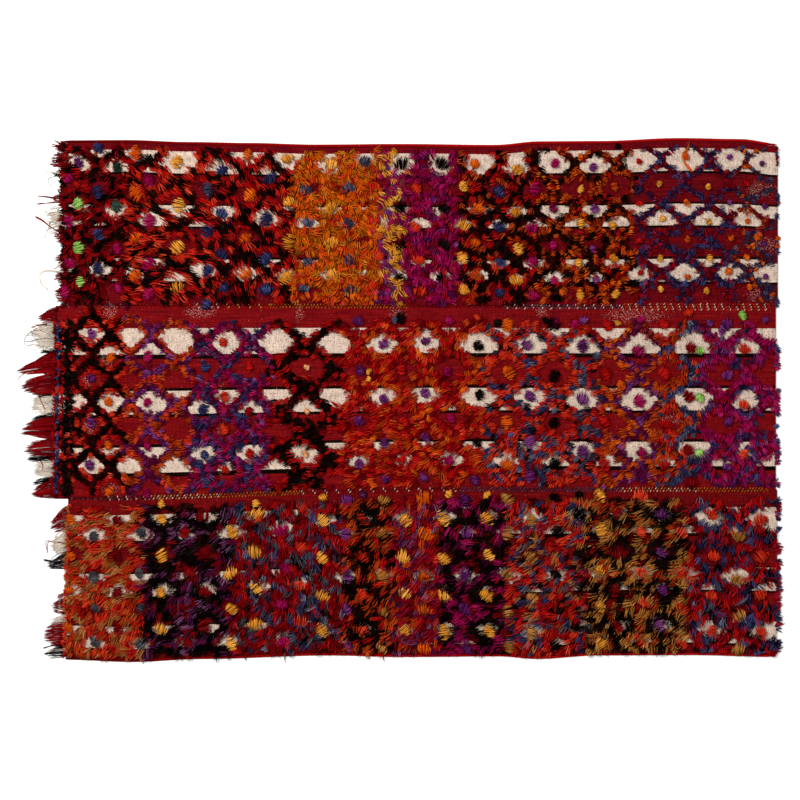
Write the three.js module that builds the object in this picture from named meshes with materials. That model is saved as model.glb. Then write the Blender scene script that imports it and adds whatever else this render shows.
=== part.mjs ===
// A kilim of three narrow striped panels, knotted all over with a lozenge lattice of pile,
// seamed side by side and lying flat. Millimetres, +Z up.
// X runs along the warp, from the fringed end (-X) to the turned-under end (+X).
// Y runs across the panels, from the near panel (-Y) to the far one (+Y).
// The origin is on the floor, under the middle of the whole rug.
import * as THREE from "three";

// Overall size, fringe and pile included.
const RUG_LENGTH = 2376;
const RUG_WIDTH = 1612;
const WARP_END = -RUG_LENGTH / 2; // the tip of the longest bunch of warp ends
const TUFT_END = RUG_LENGTH / 2; // the tip of the tufts that stick out from under the hem

// Thicknesses and heights.
const GROUND = 3.2; // the woven ground by itself
const HEM = 6.5; // the ground turned under at the right end, two layers and a little air
const HEM_LENGTH = 26;
const FLOOR_OF_WINDOW = 4.2; // bare ground between tufts, with the short pile at its rim
const GAP = 0.3; // air between one piece and the next

// Selvedge: weft and a bright cord wrapped over the last warps of each long side.
const SELVEDGE_WIDTH = 8;
const SELVEDGE_HEIGHT = 5;

// Warp fringe: flat bunches of warp ends on a narrow band at the left end.
const FRINGE_BAND = 7;
const FRINGE_HEIGHT = 4.5;
const CURVE_STEPS = 3; // straight steps on each side of a bunch

// Outer long edges of the rug, selvedges included, where x and y are in millimetres.
const FAR_SIDE = [
  { x: -1030, y: 799 },
  { x: -830, y: 800 },
  { x: -640, y: 794 },
  { x: -450, y: 791 },
  { x: -250, y: 786 },
  { x: 10, y: 788 },
  { x: 300, y: 785 },
  { x: 440, y: 796 },
  { x: 625, y: 797 },
  { x: 870, y: RUG_WIDTH / 2 },
  { x: 1055, y: 803 },
  { x: 1175, y: 789 },
];
const NEAR_SIDE = [
  { x: -1020, y: -799 },
  { x: -815, y: -RUG_WIDTH / 2 },
  { x: -605, y: -797 },
  { x: -205, y: -786 },
  { x: 10, y: -791 },
  { x: 315, y: -789 },
  { x: 430, y: -797 },
  { x: 620, y: -786 },
  { x: 900, y: -785 },
  { x: 1180, y: -791 },
];
// Seams between the panels.
const FAR_SEAM = [
  { x: -1060, y: 290 },
  { x: 1180, y: 286 },
];
const NEAR_SEAM = [
  { x: -1060, y: -304 },
  { x: 200, y: -275 },
  { x: 1180, y: -276 },
];

// Tufts that stick out at the right end: from one y to the other, near to far.
const MIDDLE_END_TUFTS = [
  { from: -262, to: -215 },
  { from: -200, to: -112 },
  { from: -50, to: 40 },
  { from: 100, to: 180 },
];
const NEAR_END_TUFTS = [
  { from: -780, to: -735 },
  { from: -700, to: -600 },
  { from: -590, to: -430 },
  { from: -400, to: -310 },
];
const FAR_END_TUFTS = [
  { from: 700, to: 780 },
  { from: 480, to: 520 },
];

// Bunches of warp ends, far to near: the stretch of the end that each grows from, how far from
// the panel its tip reaches, where across the rug the tip lies, and how wide the tip is.
const FAR_FRINGE = [
  { from: 798, to: 766, reach: 42, tip: 784, blunt: 16 },
  { from: 752, to: 716, reach: 52, tip: 740, blunt: 12 },
  { from: 708, to: 680, reach: 55, tip: 700, blunt: 6 },
  { from: 636, to: 608, reach: 74, tip: 622, blunt: 5 },
  { from: 600, to: 536, reach: 62, tip: 566, blunt: 26 },
  { from: 528, to: 484, reach: 40, tip: 505, blunt: 20 },
  { from: 452, to: 430, reach: 34, tip: 442, blunt: 5 },
  { from: 396, to: 362, reach: 40, tip: 378, blunt: 14 },
  { from: 350, to: 312, reach: 42, tip: 330, blunt: 18 },
];
const MIDDLE_FRINGE = [
  { from: 286, to: 246, reach: 66, tip: 252, blunt: 8 },
  { from: 240, to: 158, reach: 78, tip: 200, blunt: 40 },
  { from: 154, to: 86, reach: 138, tip: 93, blunt: 8 },
  { from: 82, to: 18, reach: 122, tip: 36, blunt: 20 },
  { from: 14, to: -42, reach: 80, tip: -14, blunt: 26 },
  { from: -46, to: -118, reach: 138, tip: -90, blunt: 12 },
  { from: -122, to: -182, reach: 118, tip: -156, blunt: 30 },
  { from: -186, to: -238, reach: 70, tip: -208, blunt: 34 },
  { from: -242, to: -300, reach: 84, tip: -288, blunt: 14 },
];
const NEAR_FRINGE = [
  { from: -330, to: -414, reach: 62, tip: -392, blunt: 14 },
  { from: -420, to: -486, reach: 60, tip: -450, blunt: 30 },
  { from: -490, to: -530, reach: 70, tip: -508, blunt: 12 },
  { from: -614, to: -656, reach: 54, tip: -640, blunt: 20 },
  { from: -664, to: -752, reach: 78, tip: -712, blunt: 34 },
  { from: -758, to: -796, reach: 72, tip: -780, blunt: 22 },
];

// Each panel: its left corners, its right end, the cells that carry the pile (two cells to half a
// lozenge, so both counts are even along X) and the heights of lattice lines and accent tufts.
const PANELS = [
  {
    name: "far", leftFar: -1028, leftNear: -1020, right: 1171, across: 17, along: 72,
    lattice: 11, accent: 9, colour: 0x8a1a1c, nearEdge: FAR_SEAM, endTufts: FAR_END_TUFTS,
    fringe: FAR_FRINGE, fringeColour: 0x7a2420,
  },
  {
    name: "middle", leftFar: -1050, leftNear: -1052, right: 1165, across: 15, along: 58,
    lattice: 12, accent: 9, colour: 0x8c2430, farEdge: FAR_SEAM, nearEdge: NEAR_SEAM,
    endTufts: MIDDLE_END_TUFTS, fringe: MIDDLE_FRINGE, fringeColour: 0x5e0c12,
  },
  {
    name: "near", leftFar: -1012, leftNear: -1024, right: 1169, across: 18, along: 64,
    lattice: 15, accent: 12, colour: 0x7c2a1c, farEdge: NEAR_SEAM, endTufts: NEAR_END_TUFTS,
    fringe: NEAR_FRINGE, fringeColour: 0x6e1a18,
  },
];

// The height of a line through the rows at x, with soft turns at the rows.
function along(rows, x) {
  const last = rows.length - 1;
  if (x <= rows[0].x) return rows[0].y;
  if (x >= rows[last].x) return rows[last].y;
  const next = rows.findIndex((row) => row.x > x);
  const [a, b] = [rows[next - 1], rows[next]];
  const t = (x - a.x) / (b.x - a.x);
  return THREE.MathUtils.lerp(a.y, b.y, (1 - Math.cos(Math.PI * t)) / 2);
}

// An edge taken at every second column and drawn straight between, so that a panel and the
// selvedge beside it follow the very same line.
function pairedEdge(rows, columns, i) {
  const even = i - (i % 2);
  const near = along(rows, columns[even]);
  return i % 2 ? (near + along(rows, columns[even + 2])) / 2 : near;
}

function outward(tufts, y) {
  const inside = tufts.some(({ from, to }) => y > from && y < to);
  return inside ? TUFT_END : undefined;
}

// Collects points and triangles of one closed shape.
class Shell {
  points = [];
  faces = [];

  point(x, y, z) {
    return this.points.push(x, y, z) / 3 - 1;
  }

  triangle(a, b, c) {
    this.faces.push(a, b, c);
  }

  quad(a, b, c, d) {
    this.triangle(a, b, c);
    this.triangle(a, c, d);
  }

  geometry() {
    const made = new THREE.BufferGeometry();
    made.setAttribute("position", new THREE.Float32BufferAttribute(this.points, 3));
    made.setIndex(this.faces);
    made.computeVertexNormals();
    return made;
  }
}

// Where the columns of cells stand along X. They start at the corner beside the selvedge.
function columnsOf(panel) {
  const left = panel.nearEdge ? panel.leftFar : panel.leftNear;
  const step = (panel.right - left) / panel.along;
  return Array.from({ length: panel.along + 1 }, (_, i) => left + step * i);
}

// The two long edges of a panel at column i, half a gap short of a seam and a gap short of the
// selvedge.
function longEdges(panel, columns, i) {
  const far = panel.farEdge
    ? along(panel.farEdge, columns[i]) - GAP / 2
    : pairedEdge(FAR_SIDE, columns, i) - SELVEDGE_WIDTH - GAP;
  const near = panel.nearEdge
    ? along(panel.nearEdge, columns[i]) + GAP / 2
    : pairedEdge(NEAR_SIDE, columns, i) + SELVEDGE_WIDTH + GAP;
  return { far, near };
}

// The height of the cloth at a corner of the cell grid. Lattice lines run through every corner
// whose indices add up, or differ, by a multiple of four. The other even corners are the middles
// of the lozenges, and hold the accent tufts.
function clothHeight(panel, i, j) {
  const fromEnd = ((panel.right - panel.leftFar) / panel.along) * (panel.along - i);
  if (fromEnd < HEM_LENGTH) return HEM;
  if ((i + j) % 2) return FLOOR_OF_WINDOW;
  const onLattice = (i + j) % 4 === 0 || (i - j) % 4 === 0;
  const full = onLattice ? panel.lattice : panel.accent;
  const worn = 0.08 * Math.sin(i * 1.7 + j * 2.3) + 0.06 * Math.cos(i * 0.6 - j * 1.1);
  return full * (0.93 + worn);
}

// One panel: a flat underside, a pile of ridges on top, and low edges all round.
function panelGeometry(panel) {
  const shell = new Shell();
  const columns = columnsOf(panel);
  const rows = panel.across;
  const lastColumn = panel.along + 1; // the tips of the end tufts
  const top = [];
  const base = [];
  for (let i = 0; i <= lastColumn; i++) {
    const column = Math.min(i, panel.along);
    const { far, near } = longEdges(panel, columns, column);
    top.push([]);
    base.push([]);
    for (let j = 0; j <= rows; j++) {
      const y = THREE.MathUtils.lerp(near, far, j / rows);
      let x = columns[column];
      if (i === 0) x = THREE.MathUtils.lerp(panel.leftNear, panel.leftFar, j / rows);
      if (i === lastColumn) x = outward(panel.endTufts, y) ?? panel.right + 2;
      const rim = i === 0 || j === 0 || i === lastColumn || j === rows;
      top[i].push(shell.point(x, y, rim ? GROUND : clothHeight(panel, i, j)));
      const atEdge = rim || i >= panel.along;
      base[i].push(atEdge ? shell.point(x, y, 0) : -1);
    }
  }
  for (let i = 0; i < lastColumn; i++) {
    for (let j = 0; j < rows; j++) {
      const [a, b] = [top[i][j], top[i + 1][j]];
      const [c, d] = [top[i + 1][j + 1], top[i][j + 1]];
      if ((i + j) % 2) shell.quad(b, c, d, a);
      else shell.quad(a, b, c, d);
    }
    // Long side walls.
    shell.quad(base[i][0], base[i + 1][0], top[i + 1][0], top[i][0]);
    shell.quad(base[i + 1][rows], base[i][rows], top[i][rows], top[i + 1][rows]);
  }
  for (let j = 0; j < rows; j++) {
    // End walls, and the underside of the end tufts and of both end cells.
    const [left, right, end] = [base[0], base[panel.along], base[lastColumn]];
    shell.quad(left[j + 1], left[j], top[0][j], top[0][j + 1]);
    shell.quad(end[j], end[j + 1], top[lastColumn][j + 1], top[lastColumn][j]);
    shell.quad(right[j], right[j + 1], end[j + 1], end[j]);
    shell.triangle(left[j], left[j + 1], base[1][0]);
    shell.triangle(right[j + 1], right[j], base[panel.along - 1][0]);
  }
  shell.triangle(base[0][rows], base[1][rows], base[1][0]);
  shell.triangle(base[panel.along - 1][rows], base[panel.along][rows], base[panel.along - 1][0]);
  for (let i = 1; i < panel.along - 1; i++)
    shell.quad(base[i][0], base[i][rows], base[i + 1][rows], base[i + 1][0]);
  return shell.geometry();
}

// A selvedge: a low strip with a flat underside and bevelled sides, outside a long edge.
// side is 1 on the far side and -1 on the near side.
function selvedgeGeometry(panel, rows, side) {
  const shell = new Shell();
  const columns = columnsOf(panel);
  const section = [
    { out: 0, up: 0 },
    { out: SELVEDGE_WIDTH, up: 0 },
    { out: SELVEDGE_WIDTH * 0.8, up: SELVEDGE_HEIGHT },
    { out: SELVEDGE_WIDTH * 0.15, up: SELVEDGE_HEIGHT },
  ];
  const rings = [];
  for (let i = 0; i < columns.length; i += 2) {
    const inner = along(rows, columns[i]) - side * SELVEDGE_WIDTH;
    rings.push(section.map(({ out, up }) => shell.point(columns[i], inner + side * out, up)));
  }
  const wall = (a, b, c, d) => (side > 0 ? shell.quad(a, b, c, d) : shell.quad(d, c, b, a));
  for (let k = 0; k + 1 < rings.length; k++) {
    for (let s = 0; s < section.length; s++) {
      const t = (s + 1) % section.length;
      wall(rings[k][s], rings[k][t], rings[k + 1][t], rings[k + 1][s]);
    }
  }
  const [first, last] = [rings[0], rings.at(-1)];
  wall(first[3], first[2], first[1], first[0]);
  wall(last[0], last[1], last[2], last[3]);
  return shell.geometry();
}

// The fringe of one panel: a band beside the panel's end, with a bunch of warp ends on each of
// its stretches, in one outline from far to near.
function fringeGeometry(panel) {
  const columns = columnsOf(panel);
  const { far, near } = longEdges(panel, columns, 0);
  const endAt = (y) =>
    THREE.MathUtils.mapLinear(y, near, far, panel.leftNear, panel.leftFar) - GAP;
  const outline = new THREE.Shape();
  outline.moveTo(endAt(near), near + 1);
  outline.lineTo(endAt(far), far - 1);
  outline.lineTo(endAt(far) - FRINGE_BAND, far - 1);
  for (const { from, to, reach, tip, blunt } of panel.fringe) {
    const [start, stop] = [Math.min(from, far - 2), Math.max(to, near + 2)];
    const tipX = Math.max(endAt(tip) - reach, WARP_END);
    const [high, low] = [tip + blunt / 2, tip - blunt / 2];
    const shoulder = 0.45 * reach + FRINGE_BAND;
    outline.lineTo(endAt(start) - FRINGE_BAND, start);
    outline.quadraticCurveTo(endAt(start) - shoulder, start - 1, tipX, Math.min(high, start - 3));
    outline.lineTo(tipX + 2, Math.max(low, stop + 3));
    outline.quadraticCurveTo(endAt(stop) - shoulder, stop + 1, endAt(stop) - FRINGE_BAND, stop);
  }
  outline.lineTo(endAt(near) - FRINGE_BAND, near + 1);
  outline.closePath();
  return new THREE.ExtrudeGeometry(outline, {
    depth: FRINGE_HEIGHT,
    bevelEnabled: false,
    curveSegments: CURVE_STEPS,
  });
}

function wool(colour) {
  return new THREE.MeshStandardMaterial({ color: colour, roughness: 0.95, metalness: 0 });
}

function piece(name, geometry, colour) {
  const mesh = new THREE.Mesh(geometry, wool(colour));
  mesh.name = name;
  return mesh;
}

const kilim = new THREE.Group();
for (const panel of PANELS) {
  kilim.add(piece(`panel_${panel.name}`, panelGeometry(panel), panel.colour));
  kilim.add(piece(`fringe_${panel.name}`, fringeGeometry(panel), panel.fringeColour));
}
const SELVEDGE_RED = 0xb01423;
kilim.add(piece("selvedge_far", selvedgeGeometry(PANELS[0], FAR_SIDE, 1), SELVEDGE_RED));
kilim.add(piece("selvedge_near", selvedgeGeometry(PANELS[2], NEAR_SIDE, -1), SELVEDGE_RED));

export default kilim;
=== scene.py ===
# %% [markdown]
# A tufted kilim, laid flat
#
# This rug was woven on a narrow loom as three long striped panels, sewn side by side. Tufts of
# dyed wool are knotted into the cloth in lines that cross as lozenges, and each lozenge has one
# tuft of another colour in its middle. The build follows the same order: the ground cloth, the
# pile, the selvedges and seams, the warp fringe, and then the floor, lights and camera.

# %% Load the frame
import math
from collections import namedtuple

import bpy
import numpy as np
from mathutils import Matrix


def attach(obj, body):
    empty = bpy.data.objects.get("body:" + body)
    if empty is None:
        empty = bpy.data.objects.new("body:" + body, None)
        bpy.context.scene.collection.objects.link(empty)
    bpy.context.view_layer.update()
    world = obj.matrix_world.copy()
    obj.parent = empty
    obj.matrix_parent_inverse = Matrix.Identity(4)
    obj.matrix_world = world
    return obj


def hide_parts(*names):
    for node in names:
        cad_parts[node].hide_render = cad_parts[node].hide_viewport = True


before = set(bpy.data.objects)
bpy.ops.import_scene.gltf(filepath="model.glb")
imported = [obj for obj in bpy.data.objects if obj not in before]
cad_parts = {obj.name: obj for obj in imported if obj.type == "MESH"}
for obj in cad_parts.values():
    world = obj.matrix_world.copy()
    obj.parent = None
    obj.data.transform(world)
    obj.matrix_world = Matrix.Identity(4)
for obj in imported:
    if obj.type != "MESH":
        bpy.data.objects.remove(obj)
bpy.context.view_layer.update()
bpy.ops.object.select_all(action="DESELECT")

# %% [markdown]
# Sizes
#
# Weavers think in millimetres, so every size and place below is in millimetres and becomes
# metres only when a mesh is made. x runs along the warp from the fringe to the hem, and y runs
# across the three panels. The wavy long edges and the seams are the same short tables of points
# as in the CAD model, joined by soft turns.

# %% Sizes and edges
MM = 0.001  # metres in a millimetre
GROUND = 3.2  # how high the upper face of the cloth lies
HEM = 6.0  # how high it lies where the end is turned under
HEM_LENGTH = 26
SEAM_GAP = 0.3  # between two panels, and between a panel and its selvedge
SELVEDGE_WIDTH = 8
RUG_END = -1188  # the x of the longest fringe tips

FAR_SIDE = np.array([
    (-1030, 799), (-830, 800), (-640, 794), (-450, 791), (-250, 786), (10, 788),
    (300, 785), (440, 796), (625, 797), (870, 806), (1055, 803), (1175, 789),
], float)
NEAR_SIDE = np.array([
    (-1020, -799), (-815, -806), (-605, -797), (-205, -786), (10, -791),
    (315, -789), (430, -797), (620, -786), (900, -785), (1180, -791),
], float)
FAR_SEAM = np.array([(-1060, 290), (1180, 286)], float)
NEAR_SEAM = np.array([(-1060, -304), (200, -275), (1180, -276)], float)

# Each panel: the lines it lies between, how far it stays inside them, the x of its left corners
# and of its right end, and its width on the loom.
Panel = namedtuple("Panel", "far far_inset near near_inset left_far left_near right width")
EDGE_INSET = SELVEDGE_WIDTH + SEAM_GAP
PANELS = {
    "far": Panel(FAR_SIDE, EDGE_INSET, FAR_SEAM, SEAM_GAP / 2, -1028, -1020, 1171, 503),
    "middle": Panel(FAR_SEAM, SEAM_GAP / 2, NEAR_SEAM, SEAM_GAP / 2, -1050, -1052, 1165, 563),
    "near": Panel(NEAR_SEAM, SEAM_GAP / 2, NEAR_SIDE, EDGE_INSET, -1012, -1024, 1169, 503),
}


def edge_y(line, x):
    """The y of a line through points at each x, level at every point and soft between them."""
    after = np.clip(np.searchsorted(line[:, 0], x), 1, len(line) - 1)
    start, end = line[after - 1], line[after]
    share = np.clip((x - start[..., 0]) / (end[..., 0] - start[..., 0]), 0, 1)
    return start[..., 1] + (end[..., 1] - start[..., 1]) * (1 - np.cos(np.pi * share)) / 2


def y_on(panel, x, across):
    """The y of a place on a panel, across millimetres from its far edge on the loom."""
    far = edge_y(panel.far, x) - panel.far_inset
    near = edge_y(panel.near, x) + panel.near_inset
    return far + (near - far) * across / panel.width


def left_x(panel, across):
    """Where a panel's left end stands, which leans a little."""
    return panel.left_far + (panel.left_near - panel.left_far) * across / panel.width


# Waves with bent crests: how many millimetres make one radian of them along and across the rug,
# and for each the size of its bend and the millimetres in one radian of that.
Ripple = namedtuple("Ripple", "along across bend_along bend_across")
CLOTH_RIPPLE = Ripple(83, 61, (1.3, 97), (-0.8, 140))
CLOTH_UNEVENNESS = 0.45


def ripple(x, y, waves):
    """Bent waves over the rug, from -1 to 1."""
    lifted = np.sin(x / waves.along + waves.bend_along[0] * np.sin(y / waves.bend_along[1]))
    return lifted * np.cos(y / waves.across + waves.bend_across[0] * np.sin(x / waves.bend_across[1]))


def cloth_top(x, y):
    """The height of the cloth's upper face, which never lies quite even."""
    return GROUND + CLOTH_UNEVENNESS * ripple(x, y, CLOTH_RIPPLE)


for name, panel in PANELS.items():
    middle_x = np.array([0.0])
    span = y_on(panel, middle_x, 0)[0] - y_on(panel, middle_x, panel.width)[0]
    print(f"panel {name}: {panel.right - panel.left_far} long, {span:.0f} wide at its middle")

# %% [markdown]
# One way to make a mesh
#
# A rug is thousands of like things. Operators could add and shape them one at a time, which
# would take hours, so its meshes are built from arrays. This helper takes corners, triangles and
# a UV place for each triangle corner, and makes a finished object at the origin, smooth shaded.

# %% Mesh helper
BAKE_MAP = "OFBake"


def new_piece(name, corners, triangles, places, material):
    """An object from corners in millimetres, triangles, and a UV place for each triangle corner."""
    mesh = bpy.data.meshes.new(name)
    mesh.vertices.add(len(corners))
    mesh.vertices.foreach_set("co", (corners * MM).astype(np.float32).ravel())
    mesh.loops.add(triangles.size)
    mesh.loops.foreach_set("vertex_index", triangles.astype(np.int32).ravel())
    mesh.polygons.add(len(triangles))
    mesh.polygons.foreach_set("loop_start", np.arange(0, triangles.size, 3, dtype=np.int32))
    mesh.polygons.foreach_set("use_smooth", np.ones(len(triangles), bool))
    mesh.update(calc_edges=True)
    mesh.uv_layers.new(name=BAKE_MAP)
    mesh.uv_layers[BAKE_MAP].uv.foreach_set("vector", places.astype(np.float32).ravel())
    mesh.materials.append(material)
    made = bpy.data.objects.new(name, mesh)
    bpy.context.scene.collection.objects.link(made)
    return made


print("UV places are kept in the map", BAKE_MAP)

# %% [markdown]
# Helpers for materials
#
# Wool is matte: light scatters among its fibres, so roughness is high and there is no
# mirror-like part, which keeps dark dyes deep. Colours are written as sRGB hex and turned to
# linear in one place. Nodes could be added one by one in the editor. Here one function adds a
# node, sets it and links it, so a material reads from top to bottom like its node tree.

# %% Material helpers
WOOL_IOR = 1.54
WOOL_ROUGHNESS = 0.95
WOOL_GLOSS = 0.0
MIX_A, MIX_B, MIX_RESULT = 6, 7, 2  # the colour sockets of a Mix node


def linear(hex_code):
    """A linear colour with alpha from an sRGB hex code such as 7d0d14."""
    srgb = [int(hex_code[i:i + 2], 16) / 255 for i in (0, 2, 4)]
    return (*[c / 12.92 if c <= 0.04045 else ((c + 0.055) / 1.055) ** 2.4 for c in srgb], 1.0)


def grey(value):
    """A linear grey with alpha."""
    return (value, value, value, 1.0)


def greys(stops):
    """Grey stops for a ramp, from pairs of a place and a brightness."""
    return [(place, grey(value)) for place, value in stops]


def add(tree, kind, inputs=None, stops=None, **settings):
    """A new node with its settings, its inputs and, on a ramp, its stops. An input is a value, or
    a socket of another node, which is linked."""
    made = tree.nodes.new(kind)
    for name, value in settings.items():
        setattr(made, name, value)
    for socket, value in (inputs or {}).items():
        if isinstance(value, bpy.types.NodeSocket):
            tree.links.new(value, made.inputs[socket])
        else:
            made.inputs[socket].default_value = value
    for _ in (stops or ())[2:]:
        made.color_ramp.elements.new(1.0)
    for k, (place, colour) in enumerate(stops or ()):
        made.color_ramp.elements[k].position = place
        made.color_ramp.elements[k].color = colour
    return made


def new_material(name):
    """A material with an empty node tree, its tree and its wool shader."""
    made = bpy.data.materials.new(name)
    made.use_nodes = True
    tree = made.node_tree
    tree.nodes.clear()
    shader = add(tree, "ShaderNodeBsdfPrincipled", {
        "Roughness": WOOL_ROUGHNESS, "IOR": WOOL_IOR, "Specular IOR Level": WOOL_GLOSS,
    })
    add(tree, "ShaderNodeOutputMaterial", {"Surface": shader.outputs["BSDF"]})
    return made, tree, shader


print("the grey 808080 in linear light:", round(linear("808080")[0], 3))

# %% [markdown]
# Dyed yarn
#
# Each yarn was dyed in small batches and has faded unevenly, so one colour is really a family:
# deep, body and light. A material for every shade would be hundreds of them, so instead every
# strand carries its own shade as the U of its UV place, and V runs from its root to its tip. One
# material for each dye reads both: U picks the shade, and V darkens the root as painted shade,
# where little light reaches, and lightens the tip a little.

# %% Yarn colours
DYES = {
    "black": ("040202", "0d0605", "231813"),
    "bright_red": ("5c0406", "aa0d0d", "cc261f"),
    "dark_red": ("380206", "78060b", "9c1418"),
    "scarlet": ("7a0c0a", "c02914", "e25434"),
    "crimson": ("460210", "8c0619", "b01e2e"),
    "orange": ("7c2604", "cc4e0a", "ea7618"),
    "rust": ("5a1404", "a8340c", "d05c22"),
    "olive_gold": ("6c3204", "b8620c", "d8882a"),
    "khaki": ("5a2c10", "9c5a2a", "c88c50"),
    "gold": ("945010", "d88e28", "f4bc5c"),
    "ochre": ("5a3612", "a4662c", "d49a50"),
    "magenta": ("4e0428", "9a0946", "bc2868"),
    "plum": ("2c0418", "5c0a30", "842458"),
    "purple": ("2c0a30", "621e5e", "985290"),
    "violet": ("200818", "4e183c", "94628a"),
    "navy": ("0c0c20", "282a50", "50588a"),
    "slate": ("17141e", "38364c", "7c7e92"),
    "green": ("5a8a34", "92c058", "bedc8c"),
    "dark_green": ("0c1a16", "1e342a", "42604e"),
    "peach": ("94562e", "dc9a60", "f6c48e"),
    "cream": ("94877a", "cfc0b0", "ece2d4"),
    "grey": ("202024", "3e3c42", "706c74"),
}
# Brightness at places on a ramp: along a strand from root to tip, which is painted shade at the
# root, and over the noise of fibres.
ROOT_SHADE_AND_TIP = ((0.0, 0.2), (0.2, 0.65), (0.5, 1.0), (1.0, 1.05))
FIBRES = ((0.35, 0.78), (0.65, 1.16))
FIBRE_SCALE = 420.0  # streaks for one unit of U: about four on each strand


def dyed_yarn(colour):
    """Hand-spun wool yarn, dyed in the hank: matte, uneven in shade, with painted shade at its root."""
    deep, body, light = (linear(code) for code in DYES[colour])
    made, tree, shader = new_material(f"hand_spun_wool_{colour}")
    place = add(tree, "ShaderNodeUVMap", uv_map=BAKE_MAP)
    parts = add(tree, "ShaderNodeSeparateXYZ", {"Vector": place.outputs["UV"]})
    shade = add(tree, "ShaderNodeValToRGB", {"Fac": parts.outputs["X"]},
                [(0.0, deep), (0.5, body), (1.0, light)])
    fibres = add(tree, "ShaderNodeTexNoise",
                 {"W": parts.outputs["X"], "Scale": FIBRE_SCALE, "Detail": 1.0}, noise_dimensions="1D")
    streaks = add(tree, "ShaderNodeValToRGB", {"Fac": fibres.outputs["Fac"]}, greys(FIBRES))
    # painted shade: this ramp darkens each strand towards its root and lightens its tip a little
    root_shade_and_tip = add(tree, "ShaderNodeValToRGB", {"Fac": parts.outputs["Y"]}, greys(ROOT_SHADE_AND_TIP))
    wool = shade.outputs["Color"]
    for layer in (streaks, root_shade_and_tip):
        wool = add(tree, "ShaderNodeMix", {"Factor": 1.0, MIX_A: wool, MIX_B: layer.outputs["Color"]},
                   data_type="RGBA", blend_type="MULTIPLY").outputs[MIX_RESULT]
    tree.links.new(wool, shader.inputs["Base Color"])
    return made


yarns = {colour: dyed_yarn(colour) for colour in DYES}
print(len(yarns), "dyed yarns")

# %% [markdown]
# The ground cloth
#
# The ground is warp-faced plain weave: the warps lie so close that they hide the weft, so the
# stripes run the whole length of the panel and follow its wavy edges. Red, white and black warps
# make the stripes. Each stripe could be a strip of its own, or a painted picture. Instead the V
# of the UV place runs straight across the panel, which makes a stripe a stop on a colour ramp that
# stays crisp and is easy to change. The weft shows as tiny specks in the white stripes.

# %% Stripes
# Stripes from the far edge to the near one: where each ends, in millimetres, and its warp.
Stripe = namedtuple("Stripe", "end warp")
STRIPES = {
    "far": [
        (21, "red"), (90, "white"), (98, "black"), (183, "red"), (190, "black"), (254, "white"),
        (263, "black"), (349, "red"), (357, "black"), (426, "white"), (433, "black"), (503, "red"),
    ],
    "middle": [
        (65, "red"), (141, "white"), (154, "black"), (240, "red"), (249, "black"), (317, "white"),
        (326, "black"), (406, "red"), (415, "black"), (489, "white"), (502, "black"), (563, "red"),
    ],
    "near": [
        (52, "red"), (132, "white"), (142, "black"), (231, "red"), (237, "black"), (308, "white"),
        (314, "black"), (397, "red"), (402, "black"), (471, "white"), (477, "black"), (503, "red"),
    ],
}
STRIPES = {name: [Stripe(*row) for row in rows] for name, rows in STRIPES.items()}
WARP_DYES = {"red": "6c0b10", "white": "cbb5a3", "black": "120705"}
# Each panel's red warps: deep, body and light.
RED_WARPS = {
    "far": ("40050c", "5c0810", "780e10"),
    "middle": ("4c060c", "6c0b10", "88130f"),
    "near": ("43050a", "620a0d", "7c100d"),
}
SPECK = "6a1c1c"
PALE_CORE = "b08a80"

for name, rows in STRIPES.items():
    print(f"panel {name}: {len(rows)} stripes")

# %% [markdown]
# Rubbed places
#
# Where a red stripe is rubbed thin, its pale core shows. The places could be painted by hand, but
# a short table of spots is easier to read and to move. How thin each corner of the cloth is gets
# stored on the mesh as wear, which the material reads.

# %% Wear
# Rubbed places: the middle of each, and half its length and width. A place is rubbed through in
# its middle and fades out at the square root of the reach, in these half lengths.
WEAR_REACH = 1.4
Worn = namedtuple("Worn", "x y half_x half_y")
WORN_PLACES = [Worn(*row) for row in (
    (-886, 274, 28, 34), (-945, 65, 25, 28), (-945, -77, 25, 37), (-889, 123, 25, 31),
    (-896, -135, 18, 18), (-883, -271, 31, 26), (-606, 271, 55, 23), (-545, -46, 12, 200),
    (-302, 271, 12, 38), (3, 265, 31, 18), (446, 274, 25, 20), (732, 259, 108, 26),
    (846, -55, 54, 20), (1120, 649, 51, 28), (1120, 477, 51, 31), (1120, 323, 51, 31),
)]


def wear_at(x, y):
    """How thin the cloth is rubbed at each place, from 0 to 1."""
    wear = np.zeros_like(x)
    for worn in WORN_PLACES:
        away = ((x - worn.x) / worn.half_x) ** 2 + ((y - worn.y) / worn.half_y) ** 2
        wear = np.maximum(wear, np.clip(WEAR_REACH - away, 0, 1))
    return wear


print(len(WORN_PLACES), "rubbed places")

# %% [markdown]
# The material of the ground
#
# Constant steps on a ramp give crisp stripes, and a little noise on V makes their borders as
# uneven as woven ones. Long thin noise along the warp is the streakiness of hand-dyed warps.
# The ribs of the weave could be modelled, but they are under two millimetres apart, too fine for
# a view of the whole rug, so they are bump and painted shade, drawn about four millimetres apart,
# where they show.

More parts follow.
